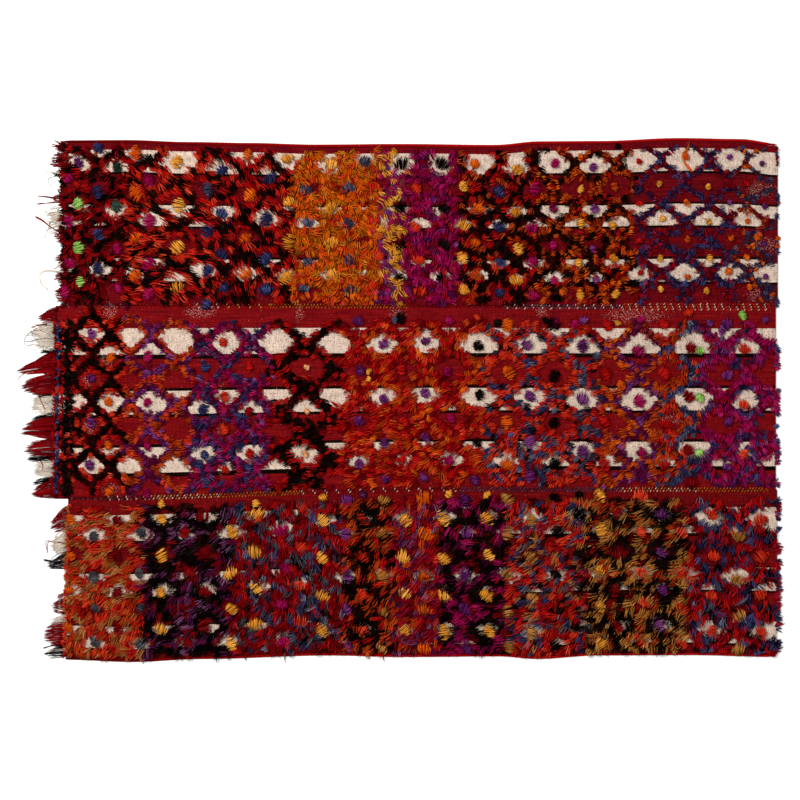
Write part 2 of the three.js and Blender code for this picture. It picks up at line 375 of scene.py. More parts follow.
# %% Patterns of the ground
# Noise patterns: scale per metre along, across and up, and detail.
Pattern = namedtuple("Pattern", "scale detail")
PATTERNS = {
    "streaks": Pattern((9.0, 330.0, 1.0), 3.0),  # along the warp, 110 by 3 mm
    "ribs": Pattern((230.0, 40.0, 1.0), 2.0),  # of weft across the warp, about 4 mm apart
    "specks": Pattern((230.0, 330.0, 1.0), 1.0),  # of weft, about 4 by 3 mm
    "borders": Pattern((110.0, 40.0, 1.0), 2.0),  # of the stripes, uneven every 9 mm
    "dust": Pattern((14.0, 60.0, 1.0), 4.0),  # patches 70 by 17 mm
    "bare": Pattern((520.0, 260.0, 1.0), 0.0),  # bare threads, 2 by 4 mm
    "knot_colour_and_shade": Pattern((150.0, 150.0, 1.0), 1.0),  # rows of knots and their painted shade, ragged by 7 mm
}
BORDER_UNEVENNESS = 0.004  # of the panel's width
RIB_DEPTH = 0.0012
RIB_STRENGTH = 0.5
RIB_SHARE = 0.6  # how high the ribs are in the bump, where the streaks are 1
# Places on ramps, with the brightness there or the noise at which a mark starts and is full.
STREAK_PLACES = (0.25, 0.5, 0.78)
DUST = ((0.3, 0.80), (0.7, 1.08))
# painted shade of the ribs: darker where the rib noise, which also lowers the bump, is low
RIB_SHADE = ((0.35, 0.72), (0.6, 1.06))
SPECK_RANGE = (0.60, 0.68)
BARE_RANGE = (0.83, 0.87)
KNOT_SHADE_RANGE = (0.68, 0.78)
WEAR_SHARE = 0.2  # how much wear adds to the noise of bare threads
KNOT_SHADE_RAGGEDNESS = 0.5  # how much noise adds to the cover of knots and painted shade

for use, pattern in PATTERNS.items():
    print(use, [round(1 / scale / MM) for scale in pattern.scale[:2]], "mm")

# %% [markdown]
# Warp-faced wool
#
# The nodes follow the cloth from below: first the dyed stripes, then the painted shade of the ribs
# and the dust that darken them, then what lies on top, which is weft, bare threads and knots. Where
# pile stands, its knots hide the warps, so the cloth there takes their colour, in their deepest dye
# as painted shade under the locks. One material for each panel is enough, because only its
# stripes and its reds differ.

# %% Ground material
def ground_wool(name, panel):
    """Warp-faced wool plain weave: matte stripes, fine ribs, specks of the hidden weft."""
    made, tree, shader = new_material(f"warp_faced_wool_{name}")
    where = add(tree, "ShaderNodeTexCoord").outputs["Object"]
    place = add(tree, "ShaderNodeUVMap", uv_map=BAKE_MAP).outputs["UV"]
    across = add(tree, "ShaderNodeSeparateXYZ", {"Vector": place}).outputs["Y"]
    noise = {}
    for use, pattern in PATTERNS.items():
        spread = add(tree, "ShaderNodeMapping", {"Vector": where, "Scale": pattern.scale})
        noise[use] = add(tree, "ShaderNodeTexNoise", {
            "Vector": spread.outputs["Vector"], "Scale": 1.0, "Detail": pattern.detail,
        }).outputs["Fac"]

    # The stripes, as colours and as masks of the white and of the red ones.
    uneven = add(tree, "ShaderNodeMath", {
        0: noise["borders"], 1: BORDER_UNEVENNESS, 2: -BORDER_UNEVENNESS / 2,
    }, operation="MULTIPLY_ADD").outputs[0]
    shifted = add(tree, "ShaderNodeMath", {0: across, 1: uneven}).outputs[0]
    stripes = STRIPES[name]
    starts = [0.0] + [stripe.end / panel.width for stripe in stripes[:-1]]
    striped = {}
    for use, colours in (
        ("dye", [linear(WARP_DYES[stripe.warp]) for stripe in stripes]),
        ("white", [grey(float(stripe.warp == "white")) for stripe in stripes]),
        ("red", [grey(float(stripe.warp == "red")) for stripe in stripes]),
    ):
        ramp = add(tree, "ShaderNodeValToRGB", {"Fac": shifted}, list(zip(starts, colours)))
        ramp.color_ramp.interpolation = "CONSTANT"
        striped[use] = ramp.outputs["Color"]

    red_warps = [linear(code) for code in RED_WARPS[name]]
    streaks = add(tree, "ShaderNodeValToRGB", {"Fac": noise["streaks"]},
                  list(zip(STREAK_PLACES, red_warps)))
    dust = add(tree, "ShaderNodeValToRGB", {"Fac": noise["dust"]}, greys(DUST))
    # painted shade of the ribs, darker where the same noise lowers the bump
    ribs = add(tree, "ShaderNodeValToRGB", {"Fac": noise["ribs"]}, greys(RIB_SHADE))

    # Marks, each from 0 where it is missing to 1: weft in white, bare threads, and cloth under knots,
    # in their colour and painted shade.
    wear = add(tree, "ShaderNodeAttribute", attribute_name="wear").outputs["Fac"]
    thin = add(tree, "ShaderNodeMath", {0: wear, 1: WEAR_SHARE, 2: noise["bare"]},
               operation="MULTIPLY_ADD").outputs[0]
    knot_colour_and_shade = add(tree, "ShaderNodeAttribute", attribute_name="knot_colour_and_shade").outputs
    ragged = add(tree, "ShaderNodeMath", {0: noise["knot_colour_and_shade"], 1: KNOT_SHADE_RAGGEDNESS, 2: knot_colour_and_shade["Alpha"]},
                 operation="MULTIPLY_ADD").outputs[0]
    marks = [
        add(tree, "ShaderNodeMapRange", {"Value": value, "From Min": least, "From Max": most}).outputs[0]
        for value, (least, most) in (
            (noise["specks"], SPECK_RANGE), (thin, BARE_RANGE), (ragged, KNOT_SHADE_RANGE))
    ]
    weft = add(tree, "ShaderNodeMath", {0: marks[0], 1: striped["white"]}, operation="MULTIPLY").outputs[0]

    # Layers of colour from below: how much of each shows, its colour and how it is laid on.
    # The last layer is the knots' colour, which is also painted shade under the pile.
    wool = striped["dye"]
    for share, colour, blend in (
        (striped["red"], streaks.outputs["Color"], "MIX"), (1.0, ribs.outputs["Color"], "MULTIPLY"),
        (1.0, dust.outputs["Color"], "MULTIPLY"), (weft, linear(SPECK), "MIX"),
        (marks[1], linear(PALE_CORE), "MIX"), (marks[2], knot_colour_and_shade["Color"], "MIX"),
    ):
        wool = add(tree, "ShaderNodeMix", {"Factor": share, MIX_A: wool, MIX_B: colour},
                   data_type="RGBA", blend_type=blend).outputs[MIX_RESULT]
    tree.links.new(wool, shader.inputs["Base Color"])

    height = add(tree, "ShaderNodeMath", {0: noise["ribs"], 1: RIB_SHARE, 2: noise["streaks"]},
                 operation="MULTIPLY_ADD").outputs[0]
    bump = add(tree, "ShaderNodeBump", {"Height": height, "Strength": RIB_STRENGTH, "Distance": RIB_DEPTH})
    tree.links.new(bump.outputs["Normal"], shader.inputs["Normal"])
    return made


grounds = {name: ground_wool(name, panel) for name, panel in PANELS.items()}
print("ground materials:", [made.name for made in grounds.values()])

# %% [markdown]
# Laying the ground cloths
#
# A real panel is one long strip of cloth, so each is one closed sheet with an upper and a lower
# face. A plane with a Solidify modifier could be bent to shape, but a grid made from arrays follows
# the panel's own wavy edges exactly. Its right end rises over the turned-under hem. The upper face
# gets the small unevenness of hand-woven wool, and the underside lies flat.

# %% Ground cloths
CELL = 13  # about how far apart the corners are
HEM_CLIMB = 3  # the length over which the cloth rises onto its hem
HEM_ROWS = (HEM_LENGTH - HEM_CLIMB, 13, 5, 1.5, 0)  # how far from the end its rows of corners lie
HEM_ROUNDING = (0.9, 2.4)  # how far the last two rows bend down
RIM_DROP = 0.9  # how much thinner the cloth is at its edges
RIM_WIDTH = 5
FOOT_INSET = 0.012  # gives the walls some room on the UV map

corner_places = {}  # the x and the place across of each upper corner of a cloth


def grid_triangles(columns, rows):
    """Triangles of a grid of corners, row by row, seen from above."""
    i, j = np.meshgrid(np.arange(columns - 1), np.arange(rows - 1), indexing="ij")
    a = (i * rows + j).ravel()
    b = a + rows
    return np.concatenate([np.stack([a, a + 1, b + 1], 1), np.stack([a, b + 1, b], 1)])


def rim_of(columns, rows):
    """The corners round a grid, far side first, and on to where it started."""
    whole = np.arange(columns * rows).reshape(columns, rows)
    return np.concatenate([whole[:, 0], whole[-1, 1:], whole[-2::-1, -1], whole[0, -2::-1]])


def ground_cloth(name, panel):
    """One panel's cloth: a closed thin sheet with its hem, stripes and worn places."""
    body_columns = round((panel.right - HEM_LENGTH - panel.left_far) / CELL)
    hem_columns = panel.right - np.array(HEM_ROWS)
    across_count = round(panel.width / CELL) + 1
    along = np.concatenate([
        np.linspace(panel.left_far, panel.right - HEM_LENGTH, body_columns + 1), hem_columns,
    ])
    across = np.linspace(0, panel.width, across_count)
    x, v = np.meshgrid(along, across, indexing="ij")
    lean = (panel.right - x) / (panel.right - panel.left_far)
    x = x + (left_x(panel, v) - panel.left_far) * lean
    y = y_on(panel, x, v)
    rise = np.clip((x - (panel.right - HEM_LENGTH)) / HEM_CLIMB, 0, 1)
    top = cloth_top(x, y) * (1 - rise) + HEM * rise
    inward = np.minimum(np.minimum(v, panel.width - v), x - left_x(panel, v))
    top = top - RIM_DROP * np.exp(-np.abs(inward) / RIM_WIDTH) * (1 - rise)
    top[-2:] -= np.array(HEM_ROUNDING)[:, None]
    upper = np.stack([x, y, top], -1).reshape(-1, 3)
    lower = np.stack([x, y, np.zeros_like(x)], -1).reshape(-1, 3)
    columns, rows = x.shape
    count = columns * rows
    faces = grid_triangles(columns, rows)
    rim = rim_of(columns, rows)
    start, stop = rim[:-1], rim[1:]
    walls = np.concatenate([
        np.stack([start, stop, stop + count], 1), np.stack([start, stop + count, start + count], 1),
    ])
    triangles = np.concatenate([faces, faces[:, ::-1] + count, walls])
    u = (x - x.min()) / (x.max() - x.min())
    flat = np.stack([u, v / panel.width], -1).reshape(-1, 2)
    inset = flat + (0.5 - flat) * FOOT_INSET
    places = np.concatenate([flat, flat])[triangles]
    places[len(faces) * 2:] = np.concatenate([flat, inset])[walls]
    made = new_piece(f"ground_{name}", np.concatenate([upper, lower]), triangles, places, grounds[name])
    wear = made.data.attributes.new("wear", "FLOAT", "POINT")
    wear.data.foreach_set("value", np.tile(wear_at(x, y).ravel(), 2).astype(np.float32))
    corner_places[name] = (x.ravel(), v.ravel())
    return made


cloths = {name: ground_cloth(name, panel) for name, panel in PANELS.items()}
for name, cloth in cloths.items():
    print(cloth.name, len(cloth.data.polygons), "triangles")

# %% [markdown]
# Yarn ends
#
# Everything else on the rug is short lengths of yarn: pile, accent tufts, stitches, fringe. Hair
# or bevelled curves could make them, but hair has no mesh and such curves have too many faces.
# One function turns any number of paths into closed tapered shells with a few faces each: a point
# at the root, rings of three corners between, and a point at the tip. All yarn of one colour on
# one panel is joined in one mesh, because that many separate objects would be slow.

# %% Yarn shells
YARN_SIDES = 3
SHADE_STRIP = 0.01  # how wide one strand is on the UV map
MAP_MARGIN = 0.01  # where the map's strands start, in U and in V
SHADE_SPAN = 0.97  # the U between the deepest and the lightest strand
LENGTH_SPAN = 0.98  # the V between a strand's root and its tip
NEVER_ZERO = 1e-9

SEED = 1907
rng = np.random.default_rng(SEED)


def yarn_template(points):
    """Triangles of one shell with this many path points, and each corner's step round and along."""
    rings = points - 2
    tip = 1 + rings * YARN_SIDES
    faces, places = [], []
    for k in range(YARN_SIDES):
        after = (k + 1) % YARN_SIDES
        round_, round_after = k / YARN_SIDES, (k + 1) / YARN_SIDES
        faces.append((0, 1 + after, 1 + k))
        places.append(((round_, 0), (round_after, 1), (round_, 1)))
        for ring in range(rings - 1):
            a, b = 1 + ring * YARN_SIDES, 1 + (ring + 1) * YARN_SIDES
            faces.append((a + k, a + after, b + after))
            places.append(((round_, ring + 1), (round_after, ring + 1), (round_after, ring + 2)))
            faces.append((a + k, b + after, b + k))
            places.append(((round_, ring + 1), (round_after, ring + 2), (round_, ring + 2)))
        last = tip - YARN_SIDES
        faces.append((last + k, last + after, tip))
        places.append(((round_, rings), (round_after, rings), (round_, rings + 1)))
    return np.array(faces), np.array(places, float)


def yarn_shells(paths, radius, shade):
    """Corners, triangles and UV places of shells along paths of shape (yarn, point, 3)."""
    count, points, _ = paths.shape
    way = paths[:, 2:] - paths[:, :-2]
    way /= np.linalg.norm(way, axis=2, keepdims=True) + NEVER_ZERO
    side = np.stack([-way[..., 1], way[..., 0], np.zeros(way.shape[:2])], -1)
    side /= np.linalg.norm(side, axis=2, keepdims=True) + NEVER_ZERO
    up = np.cross(way, side)
    turn = np.pi / 2 + 2 * np.pi * np.arange(YARN_SIDES) / YARN_SIDES
    out = side[:, :, None] * np.cos(turn)[:, None] + up[:, :, None] * np.sin(turn)[:, None]
    rings = paths[:, 1:-1, None] + out * np.broadcast_to(radius, (count, points - 2))[..., None, None]
    corners = np.concatenate([paths[:, :1], rings.reshape(count, -1, 3), paths[:, -1:]], 1)
    faces, steps = yarn_template(points)
    triangles = faces + (np.arange(count) * corners.shape[1])[:, None, None]
    u = MAP_MARGIN + SHADE_SPAN * shade[:, None, None] + SHADE_STRIP * steps[..., 0]
    v = np.broadcast_to(MAP_MARGIN + LENGTH_SPAN * steps[..., 1] / (points - 1), u.shape)
    return corners.reshape(-1, 3), triangles.reshape(-1, 3), np.stack([u, v], -1).reshape(-1, 2)


# Each holds the shells of one kind of yarn by panel and colour, and is filled by the cells below.
pile_baskets, fringe_baskets, seam_baskets = {}, {}, {}


def put(baskets, panel_name, colour, paths, radius, shade):
    """Adds yarn of one colour to a panel's basket."""
    if len(paths):
        baskets.setdefault((panel_name, str(colour)), []).append(yarn_shells(paths, radius, shade))


STRAND_POINTS = 4
print("a pile strand has", len(yarn_template(STRAND_POINTS)[0]), "triangles")

# %% [markdown]
# Locks of pile
#
# A knot leaves a lock of several strands that start together, rise, fan out a little and fall
# over in one direction. One lock could be modelled and copied, but then they would all look
# alike. Here a lock is a root, a heading, a length and a rise, and each strand in it varies a
# little from its lock.

# %% Locks
PROFILE = np.array([0.0, 0.16, 0.72, 1.0])  # path points along a strand
RISE_PROFILE = np.array([0.0, 0.75, 1.0, 0.6])  # how high each stands

# x and y: the middle in millimetres. heading: which way the lock lies. curl: how far it bends
# aside. width: how far its strands start apart. opening: how far they fan out, in radians. taper:
# how much shorter the outer ones are. radius: of one strand. strands: how many. stray: how much
# they differ from one another.
Locks = namedtuple("Locks", "x y heading length rise curl width opening taper radius strands stray")
# How much a strand differs from its lock, for a stray of 1: its place beside the others, its
# heading, its curl, its slip along the lock and its length.
STRAY_BESIDE = 0.16
STRAY_HEADING = 0.05
STRAY_CURL = 0.09
STRAY_SLIP = 1.8
STRAY_LENGTH = (-0.18, 0.1)
# How much it differs whatever the stray, as shares: how high it rises and how thick it is.
STRAND_RISE = (0.7, 1.2)
STRAND_RADIUS = (0.8, 1.15)
LEAST_OVAL = 0.1  # keeps the outermost strands of a tapered lock from vanishing
ROOT_DEPTH = 0.8  # how far under the cloth's face a strand starts
LOCK_SHADE = (0.47, 0.15)  # the mean shade of a lock and how much that varies
STRAND_SHADE = 0.13  # how much its strands vary from it
SHADE_LIMITS = (0.02, 0.98)
LYING = 2.6  # how high a strand's middle is where it lies on the floor
# How far past a long side and past the right and the left end a strand lies before it sinks.
OFF_SIDE = 1
OFF_RIGHT = 2
OFF_LEFT = 4


def beyond_edge(panel, x, y):
    """True where a place is off the rug, past a long edge or past a panel's ends."""
    past_sides = (y > edge_y(FAR_SIDE, x) + OFF_SIDE) | (y < edge_y(NEAR_SIDE, x) - OFF_SIDE)
    return past_sides | (x > panel.right + OFF_RIGHT) | (x < panel.left_far - OFF_LEFT)


def pile(panel_name, colours, locks):
    """Turns locks into strands side by side and puts each in the basket of its own colour."""
    count, strands = len(locks.x), locks.strands

    def each(values):
        """A row for each lock, from one value for each or one for all of them."""
        return np.broadcast_to(values, count)[:, None]

    def vary(amount):
        return rng.normal(0, amount * locks.stray, (count, strands))

    beside = np.linspace(-1, 1, strands) + vary(STRAY_BESIDE)
    heading = each(locks.heading) + each(locks.opening) * beside / 2 + vary(STRAY_HEADING)
    oval = np.sqrt(np.clip(1 - each(locks.taper) * beside ** 2, LEAST_OVAL, 1))
    longer = 1 + locks.stray * rng.uniform(*STRAY_LENGTH, (count, strands))
    length = each(locks.length) * oval * longer
    curl = each(locks.curl) + vary(STRAY_CURL)
    rise = each(locks.rise) * rng.uniform(*STRAND_RISE, (count, strands))
    ahead = np.stack([np.cos(heading), np.sin(heading)], -1)
    aside = np.stack([-ahead[..., 1], ahead[..., 0]], -1)
    start_aside = each(locks.width) * beside / 2
    root = np.stack([locks.x, locks.y], -1)[:, None] + aside * start_aside[..., None]
    root = root - ahead * (length / 2 + vary(STRAY_SLIP))[..., None]
    run = PROFILE[:, None] * length[..., None, None]
    bend = curl[..., None, None] * PROFILE[:, None] ** 2 * length[..., None, None]
    flat = root[:, :, None] + ahead[:, :, None] * run + aside[:, :, None] * bend
    foot = cloth_top(root[..., 0], root[..., 1]) - ROOT_DEPTH
    z = foot[..., None] + rise[..., None] * RISE_PROFILE
    over = beyond_edge(PANELS[panel_name], flat[..., 0], flat[..., 1])
    z = np.where(over, np.minimum(z, LYING), z)
    paths = np.concatenate([flat, z[..., None]], -1)
    lock_shade = rng.normal(*LOCK_SHADE, (count, 1))
    shade = np.clip(lock_shade + rng.normal(0, STRAND_SHADE, (count, strands)), *SHADE_LIMITS)
    radius = each(locks.radius) * rng.uniform(*STRAND_RADIUS, (count, strands))
    colours = np.broadcast_to(np.asarray(colours)[:, None], (count, strands))
    for colour in np.unique(colours):
        chosen = colours == colour
        put(pile_baskets, panel_name, colour, paths[chosen], radius[chosen][:, None], shade[chosen])


print("strands lie", LYING, "mm high on the floor")

# %% [markdown]
# The chart of the accent tufts
#
# A weaver works such a pattern from memory: tufts stand in columns, and each column sits half a
# row off its neighbours, so the lattice lines between them cross as lozenges. An even grid would
# be simpler, but it would look printed. The chart below gives each panel's rows, and for each
# column its place, which rows it uses, how far it slips from them, and the yarn of its tufts from
# the far edge to the near one. A dash is an empty lozenge, and the last yarn named goes on to the
# end.

# %% Accent chart
Column = namedtuple("Column", "x rows slip yarn")
FIRST_GROUP = "ADE"  # the rows of every other column, whose lines may have a yarn of their own
ROWS = {
    "far": {
        "A": (57, 195, 306, 407), "B": (-2, 130, 244, 355, 451), "b": (130, 244, 355, 451),
        "D": (57, 185, 318, 430), "d": (118, 246, 370, 464),
    },
    "middle": {
        "A": (-20, 117, 277, 419, 529), "B": (49, 203, 351, 480),
        "C": (79, 213, 344, 467), "D": (18, 149, 280, 411, 543), "c": (79, 243, 344, 467),
        "E": (-20, 120, 282, 440, 545),
    },
    "near": {"A": (-30, 86, 203, 320, 431, 530), "B": (25, 132, 259, 366, 477)},
}
COLUMNS = {
    "far": [
        (-1010, "d", 0, "magenta"), (-976, "D", 5, "purple green"), (-917, "D", -35, "navy"),
        (-862, "D", 14, "dark_green dark_green magenta"), (-803, "D", -25, "orange"),
        (-766, "d", -5, "magenta"), (-680, "D", 3, "gold"), (-582, "d", 25, "slate navy"),
        (-541, "D", 22, "navy"), (-462, "D", -30, "orange"), (-403, "d", -15, "navy"),
        (-335, "D", -22, "gold"), (-280, "b", 0, "slate"), (-203, "A", -3, "gold"),
        (-145, "b", 0, "slate"), (-100, "A", -10, "slate -"), (-65, "b", -10, "scarlet"),
        (9, "A", 0, "black"), (65, "b", 0, "scarlet"), (138, "A", 3, "black"),
        (203, "b", 0, "gold"), (243, "A", -5, "orange"), (317, "b", 5, "navy"),
        (369, "A", 15, "gold"), (419, "b", 12, "magenta"), (483, "A", 8, "magenta"),
        (560, "B", 10, "- gold"), (606, "A", 10, "purple"), (668, "B", 8, "gold rust gold"),
        (748, "A", -6, "bright_red"), (806, "B", 0, "- gold"), (889, "A", -6, "orange"),
        (960, "B", 4, "- gold"), (1022, "A", -12, "purple purple orange"),
        (1080, "B", -5, "- bright_red orange"), (1133, "A", 0, "purple"),
    ],
    "middle": [
        (-991, "D", 0, "-"), (-942, "C", 0, "purple"), (-883, "D", 0, "- orange"),
        (-819, "C", 0, "-"), (-763, "D", 5, "- magenta"), (-674, "C", 15, "-"),
        (-591, "D", 30, "- navy"), (-526, "c", 24, "scarlet"), (-452, "D", 30, "- bright_red"),
        (-375, "c", 24, "-"), (-277, "D", 36, "- peach"), (-191, "A", -3, "-"),
        (-117, "B", -3, "purple"), (-37, "A", 0, "purple"), (15, "B", -5, "black bright_red"),
        (86, "A", -12, "purple"), (163, "B", -6, "magenta"), (246, "A", 0, "- black black black purple"),
        (342, "B", 3, "orange"), (409, "A", -3, "purple"), (483, "B", 6, "black"),
        (575, "E", 6, "purple"), (643, "B", 6, "bright_red"), (751, "E", 12, "magenta"),
        (825, "B", 4, "bright_red"), (902, "E", 0, "dark_red"), (1016, "B", 9, "purple"),
        (1068, "E", 14, "scarlet"), (1135, "B", 0, "-"),
    ],
    "near": [
        (-1006, "A", -22, "orange"), (-929, "B", -18, "grey"), (-859, "A", -22, "dark_red"),
        (-788, "B", -20, "grey"), (-723, "A", -22, "gold"), (-646, "B", -22, "- dark_red"),
        (-597, "A", -22, "dark_red"), (-511, "B", -14, "gold"), (-434, "A", -28, "gold"),
        (-351, "B", -22, "- magenta"), (-292, "A", -34, "scarlet"), (-228, "A", 3, "gold"),
        (-154, "B", 2, "purple"), (-105, "A", 0, "scarlet"), (-46, "B", 4, "ochre"),
        (22, "A", 2, "gold"), (83, "B", 2, "orange"), (145, "A", 3, "gold"),
        (215, "B", 4, "purple"), (277, "A", 0, "gold"), (342, "B", 0, "ochre"),
        (412, "A", 2, "ochre"), (489, "B", -3, "black"), (560, "A", -8, "black"),
        (625, "B", -8, "gold"), (680, "A", -10, "dark_red"), (751, "B", -8, "scarlet"),
        (816, "A", -8, "purple"), (880, "B", 0, "- scarlet"), (966, "A", 2, "scarlet"),
        (1043, "B", 12, "- ochre"), (1120, "A", 2, "scarlet"),
    ],
}
COLUMNS = {name: [Column(*row) for row in rows] for name, rows in COLUMNS.items()}
Lozenges = namedtuple("Lozenges", "x across yarn group")


def lozenges(name):
    """The middle of every lozenge on a panel, its accent yarn and which half of the columns."""
    x, across, yarn, group = [], [], [], []
    for column in COLUMNS[name]:
        named = column.yarn.split()
        rows = ROWS[name][column.rows]
        for k, row in enumerate(rows):
            x.append(column.x)
            across.append(row + column.slip)
            yarn.append(named[min(k, len(named) - 1)])
            group.append(column.rows in FIRST_GROUP)
    return Lozenges(np.array(x, float), np.array(across, float), np.array(yarn), np.array(group))


charts = {name: lozenges(name) for name in PANELS}
for name, chart in charts.items():
    print(f"panel {name}: {len(chart.x)} lozenges, {np.sum(chart.yarn != '-')} accents")

# %% [markdown]
# The lattice of pile
#
# The lattice lines run where two neighbouring lozenges are equally near, measured along x plus
# along y, so they come out as diagonals by themselves. They could be drawn line by line, but this
# way they follow the chart wherever its lozenges shift. The weaver changed yarns every few
# lozenges, so each panel is a row of sections with two pile yarns each. One yarn may lie on each
# side of a line, or one down its middle.

# %% Sections of pile
# until: where the section ends. first and second: its yarns, where one named twice is used twice
# as much. layout: the second yarn lies in the core of a line or on one of its sides. inner and
# outer: the share of second yarn there and elsewhere. half_far and half_near: how wide the lines
# are at the far and the near edge, as a share of a lozenge. lean and spread: which way the locks
# fall and how much that varies, in degrees. length and rise: of the locks. accent: tuft length.
INWARD = 180  # as a lean: each lock points into the lozenge beside it
Section = namedtuple("Section", "until first second layout inner outer half_far half_near"
                                " length lean spread rise accent")
SECTIONS = {
    "far": [
        (-837, "dark_red dark_red dark_red bright_red", "black", "core",
         0.72, 0.10, 0.37, 0.39, 32, 205, 40, 8, 30),
        (-560, "bright_red scarlet", "black", "core",
         0.88, 0.10, 0.35, 0.41, 42, -24, 16, 8, 34),
        (-323, "bright_red scarlet bright_red", "black", "core",
         0.92, 0.18, 0.37, 0.42, 38, -55, 20, 8, 34),
        (-58, "orange orange orange scarlet", "olive_gold", "sides",
         0.42, 0.20, 0.55, 0.62, 28, -85, 50, 9, 32),
        (22, "purple magenta magenta", "gold", "sides",
         0.62, 0.20, 0.46, 0.52, 32, -60, 42, 9, 32),
        (194, "magenta magenta magenta crimson", "plum purple", "sides",
         0.18, 0.06, 0.47, 0.56, 30, -100, 42, 9, 30),
        (425, "bright_red bright_red rust", "black", "core",
         0.92, 0.20, 0.40, 0.52, 30, -120, 38, 8, 30),
        (732, "rust orange bright_red rust", "black", "sides",
         0.66, 0.26, 0.30, 0.62, 25, INWARD, 46, 8, 22),
        (1040, "crimson dark_red", "navy navy navy violet", "sides",
         0.80, 0.36, 0.24, 0.42, 22, INWARD, 46, 7, 16),
        (1180, "rust dark_red orange", "navy slate", "sides",
         0.70, 0.40, 0.18, 0.32, 20, INWARD, 46, 7, 14),
    ],
    "middle": [
        (-837, "bright_red scarlet", "black", "core",
         0.97, 0.04, 0.33, 0.33, 22, INWARD, 9, 7, 25),
        (-630, "rust scarlet rust", "purple plum", "sides",
         0.88, 0.06, 0.25, 0.38, 26, INWARD, 24, 7, 25),
        (-390, "magenta plum magenta crimson", "navy purple navy violet", "sides",
         0.70, 0.10, 0.29, 0.44, 25, INWARD, 34, 8, 25),
        (-175, "bright_red bright_red dark_red", "black", "core",
         0.86, 0.24, 0.31, 0.44, 32, 200, 24, 8, 15),
        (271, "bright_red bright_red dark_red", "rust orange scarlet", "sides",
         0.60, 0.18, 0.35, 0.46, 32, 214, 22, 8, 25),
        (625, "scarlet scarlet scarlet bright_red", "slate navy slate black", "sides",
         0.66, 0.14, 0.30, 0.45, 29, 206, 22, 8, 33),
        (809, "rust rust orange", "purple plum plum", "sides",
         0.80, 0.08, 0.26, 0.42, 27, 205, 18, 7, 33),
        (930, "rust rust scarlet bright_red", "navy slate", "sides",
         0.66, 0.10, 0.30, 0.44, 28, -110, 32, 7, 30),
        (1180, "magenta magenta magenta crimson", "navy purple violet", "sides",
         0.62, 0.12, 0.30, 0.40, 27, -100, 36, 7, 28),
    ],
    "near": [
        (-785, "scarlet scarlet bright_red", "khaki khaki rust", "sides",
         0.75, 0.28, 0.40, 0.50, 40, -140, 14, 9, 28),
        (-508, "violet plum violet dark_red", "black", "sides",
         0.94, 0.38, 0.42, 0.48, 44, -130, 16, 10, 33),
        (-170, "dark_red dark_red dark_red bright_red", "slate grey slate black navy", "sides",
         0.52, 0.26, 0.50, 0.54, 38, -115, 20, 10, 35),
        (-15, "rust rust bright_red", "black", "sides",
         0.86, 0.38, 0.52, 0.54, 46, -134, 12, 10, 35),
        (132, "dark_red crimson bright_red crimson rust", "violet violet crimson", "sides",
         0.50, 0.22, 0.54, 0.58, 40, -118, 16, 10, 37),
        (332, "magenta plum magenta dark_red", "black", "sides",
         0.86, 0.30, 0.48, 0.52, 44, -136, 16, 10, 37),
        (579, "scarlet bright_red bright_red", "slate navy khaki black", "sides",
         0.66, 0.24, 0.50, 0.54, 37, -142, 18, 10, 35),
        (896, "ochre ochre ochre dark_red rust", "black", "sides",
         0.86, 0.26, 0.52, 0.54, 44, -136, 18, 11, 35),
        (1180, "dark_red crimson bright_red bright_red", "navy navy slate black", "sides",
         0.58, 0.22, 0.42, 0.48, 37, -92, 22, 10, 33),
    ],
}
SECTIONS = {name: [Section(*row) for row in rows] for name, rows in SECTIONS.items()}
print("sections of pile:", {name: len(rows) for name, rows in SECTIONS.items()})

# %% [markdown]
# Where the knots stand
#
# Knots stand in rows with a little wandering. Scattering them freely would leave clumps and gaps
# that no weaver makes, so they start as an even grid over the whole panel, each is nudged a
# little, and only those in a lattice line are kept. Each then draws its yarn from its section.

# %% Knots
# How far from its near edge a panel's pile keeps, and from its far edge, up to each x.
PILE_STOP = {"far": 8, "middle": 7, "near": 3}
PILE_START = {
    "far": ((1180, 15),), "middle": ((-830, 4), (-770, 26), (1180, 46)), "near": ((1180, 34),),
}
# Half of a lozenge's length along the rug and of its width across it.
LOZENGE_HALF = {"far": (70, 56), "middle": (79, 78), "near": (68, 58)}
# How each panel's locks are made: how far apart they stand, their strands, each strand's radius,
# how wide they start, how much they open, how far they stay inside the hem, how much they curl
# and how much their strands differ.
Making = namedtuple("Making", "pitch strands radius width opening hem curl stray")
MAKING = {
    "far": Making(14.3, 5, 1.5, 13, 0.15, 18, 0.12, 1.1),
    "middle": Making(13.5, 5, 1.6, 13, 0.15, 8, 0.1, 0.9),
    "near": Making(13.6, 5, 1.5, 13, 0.0, 8, 0.26, 1.3),
}
CORE_SHARE = {"far": 0.42, "middle": 0.5, "near": 0.5}  # how much of a line its core takes
FIRST_KNOTS = 6  # how far inside the left end the first knots are
KNOT_JITTER = 0.32  # how far a knot strays from its row, as a share of the pitch
# The width of the lines: the power by which it grows towards the near edge, its factors above and
# beside a lozenge, and how uneven its borders are, as a share of it.
LINE_GROWTH = 1.5
LINE_WIDTHS = (1.22, 0.72)
LINE_UNEVENNESS = 0.1
SECTION_BLUR = 7  # how far the yarns of neighbouring sections mingle


def nearest_two(name, x, across):
    """For each place: 0 on a lattice line up to 1 in the middle of a lozenge, and that lozenge."""
    chart = charts[name]
    half_x, half_y = LOZENGE_HALF[name]
    away = np.abs(x[:, None] - chart.x) / half_x + np.abs(across[:, None] - chart.across) / half_y
    order = np.argsort(away, axis=1)[:, :2]
    nearest, second = np.take_along_axis(away, order, 1).T
    return (second - nearest) / 2, order[:, 0]


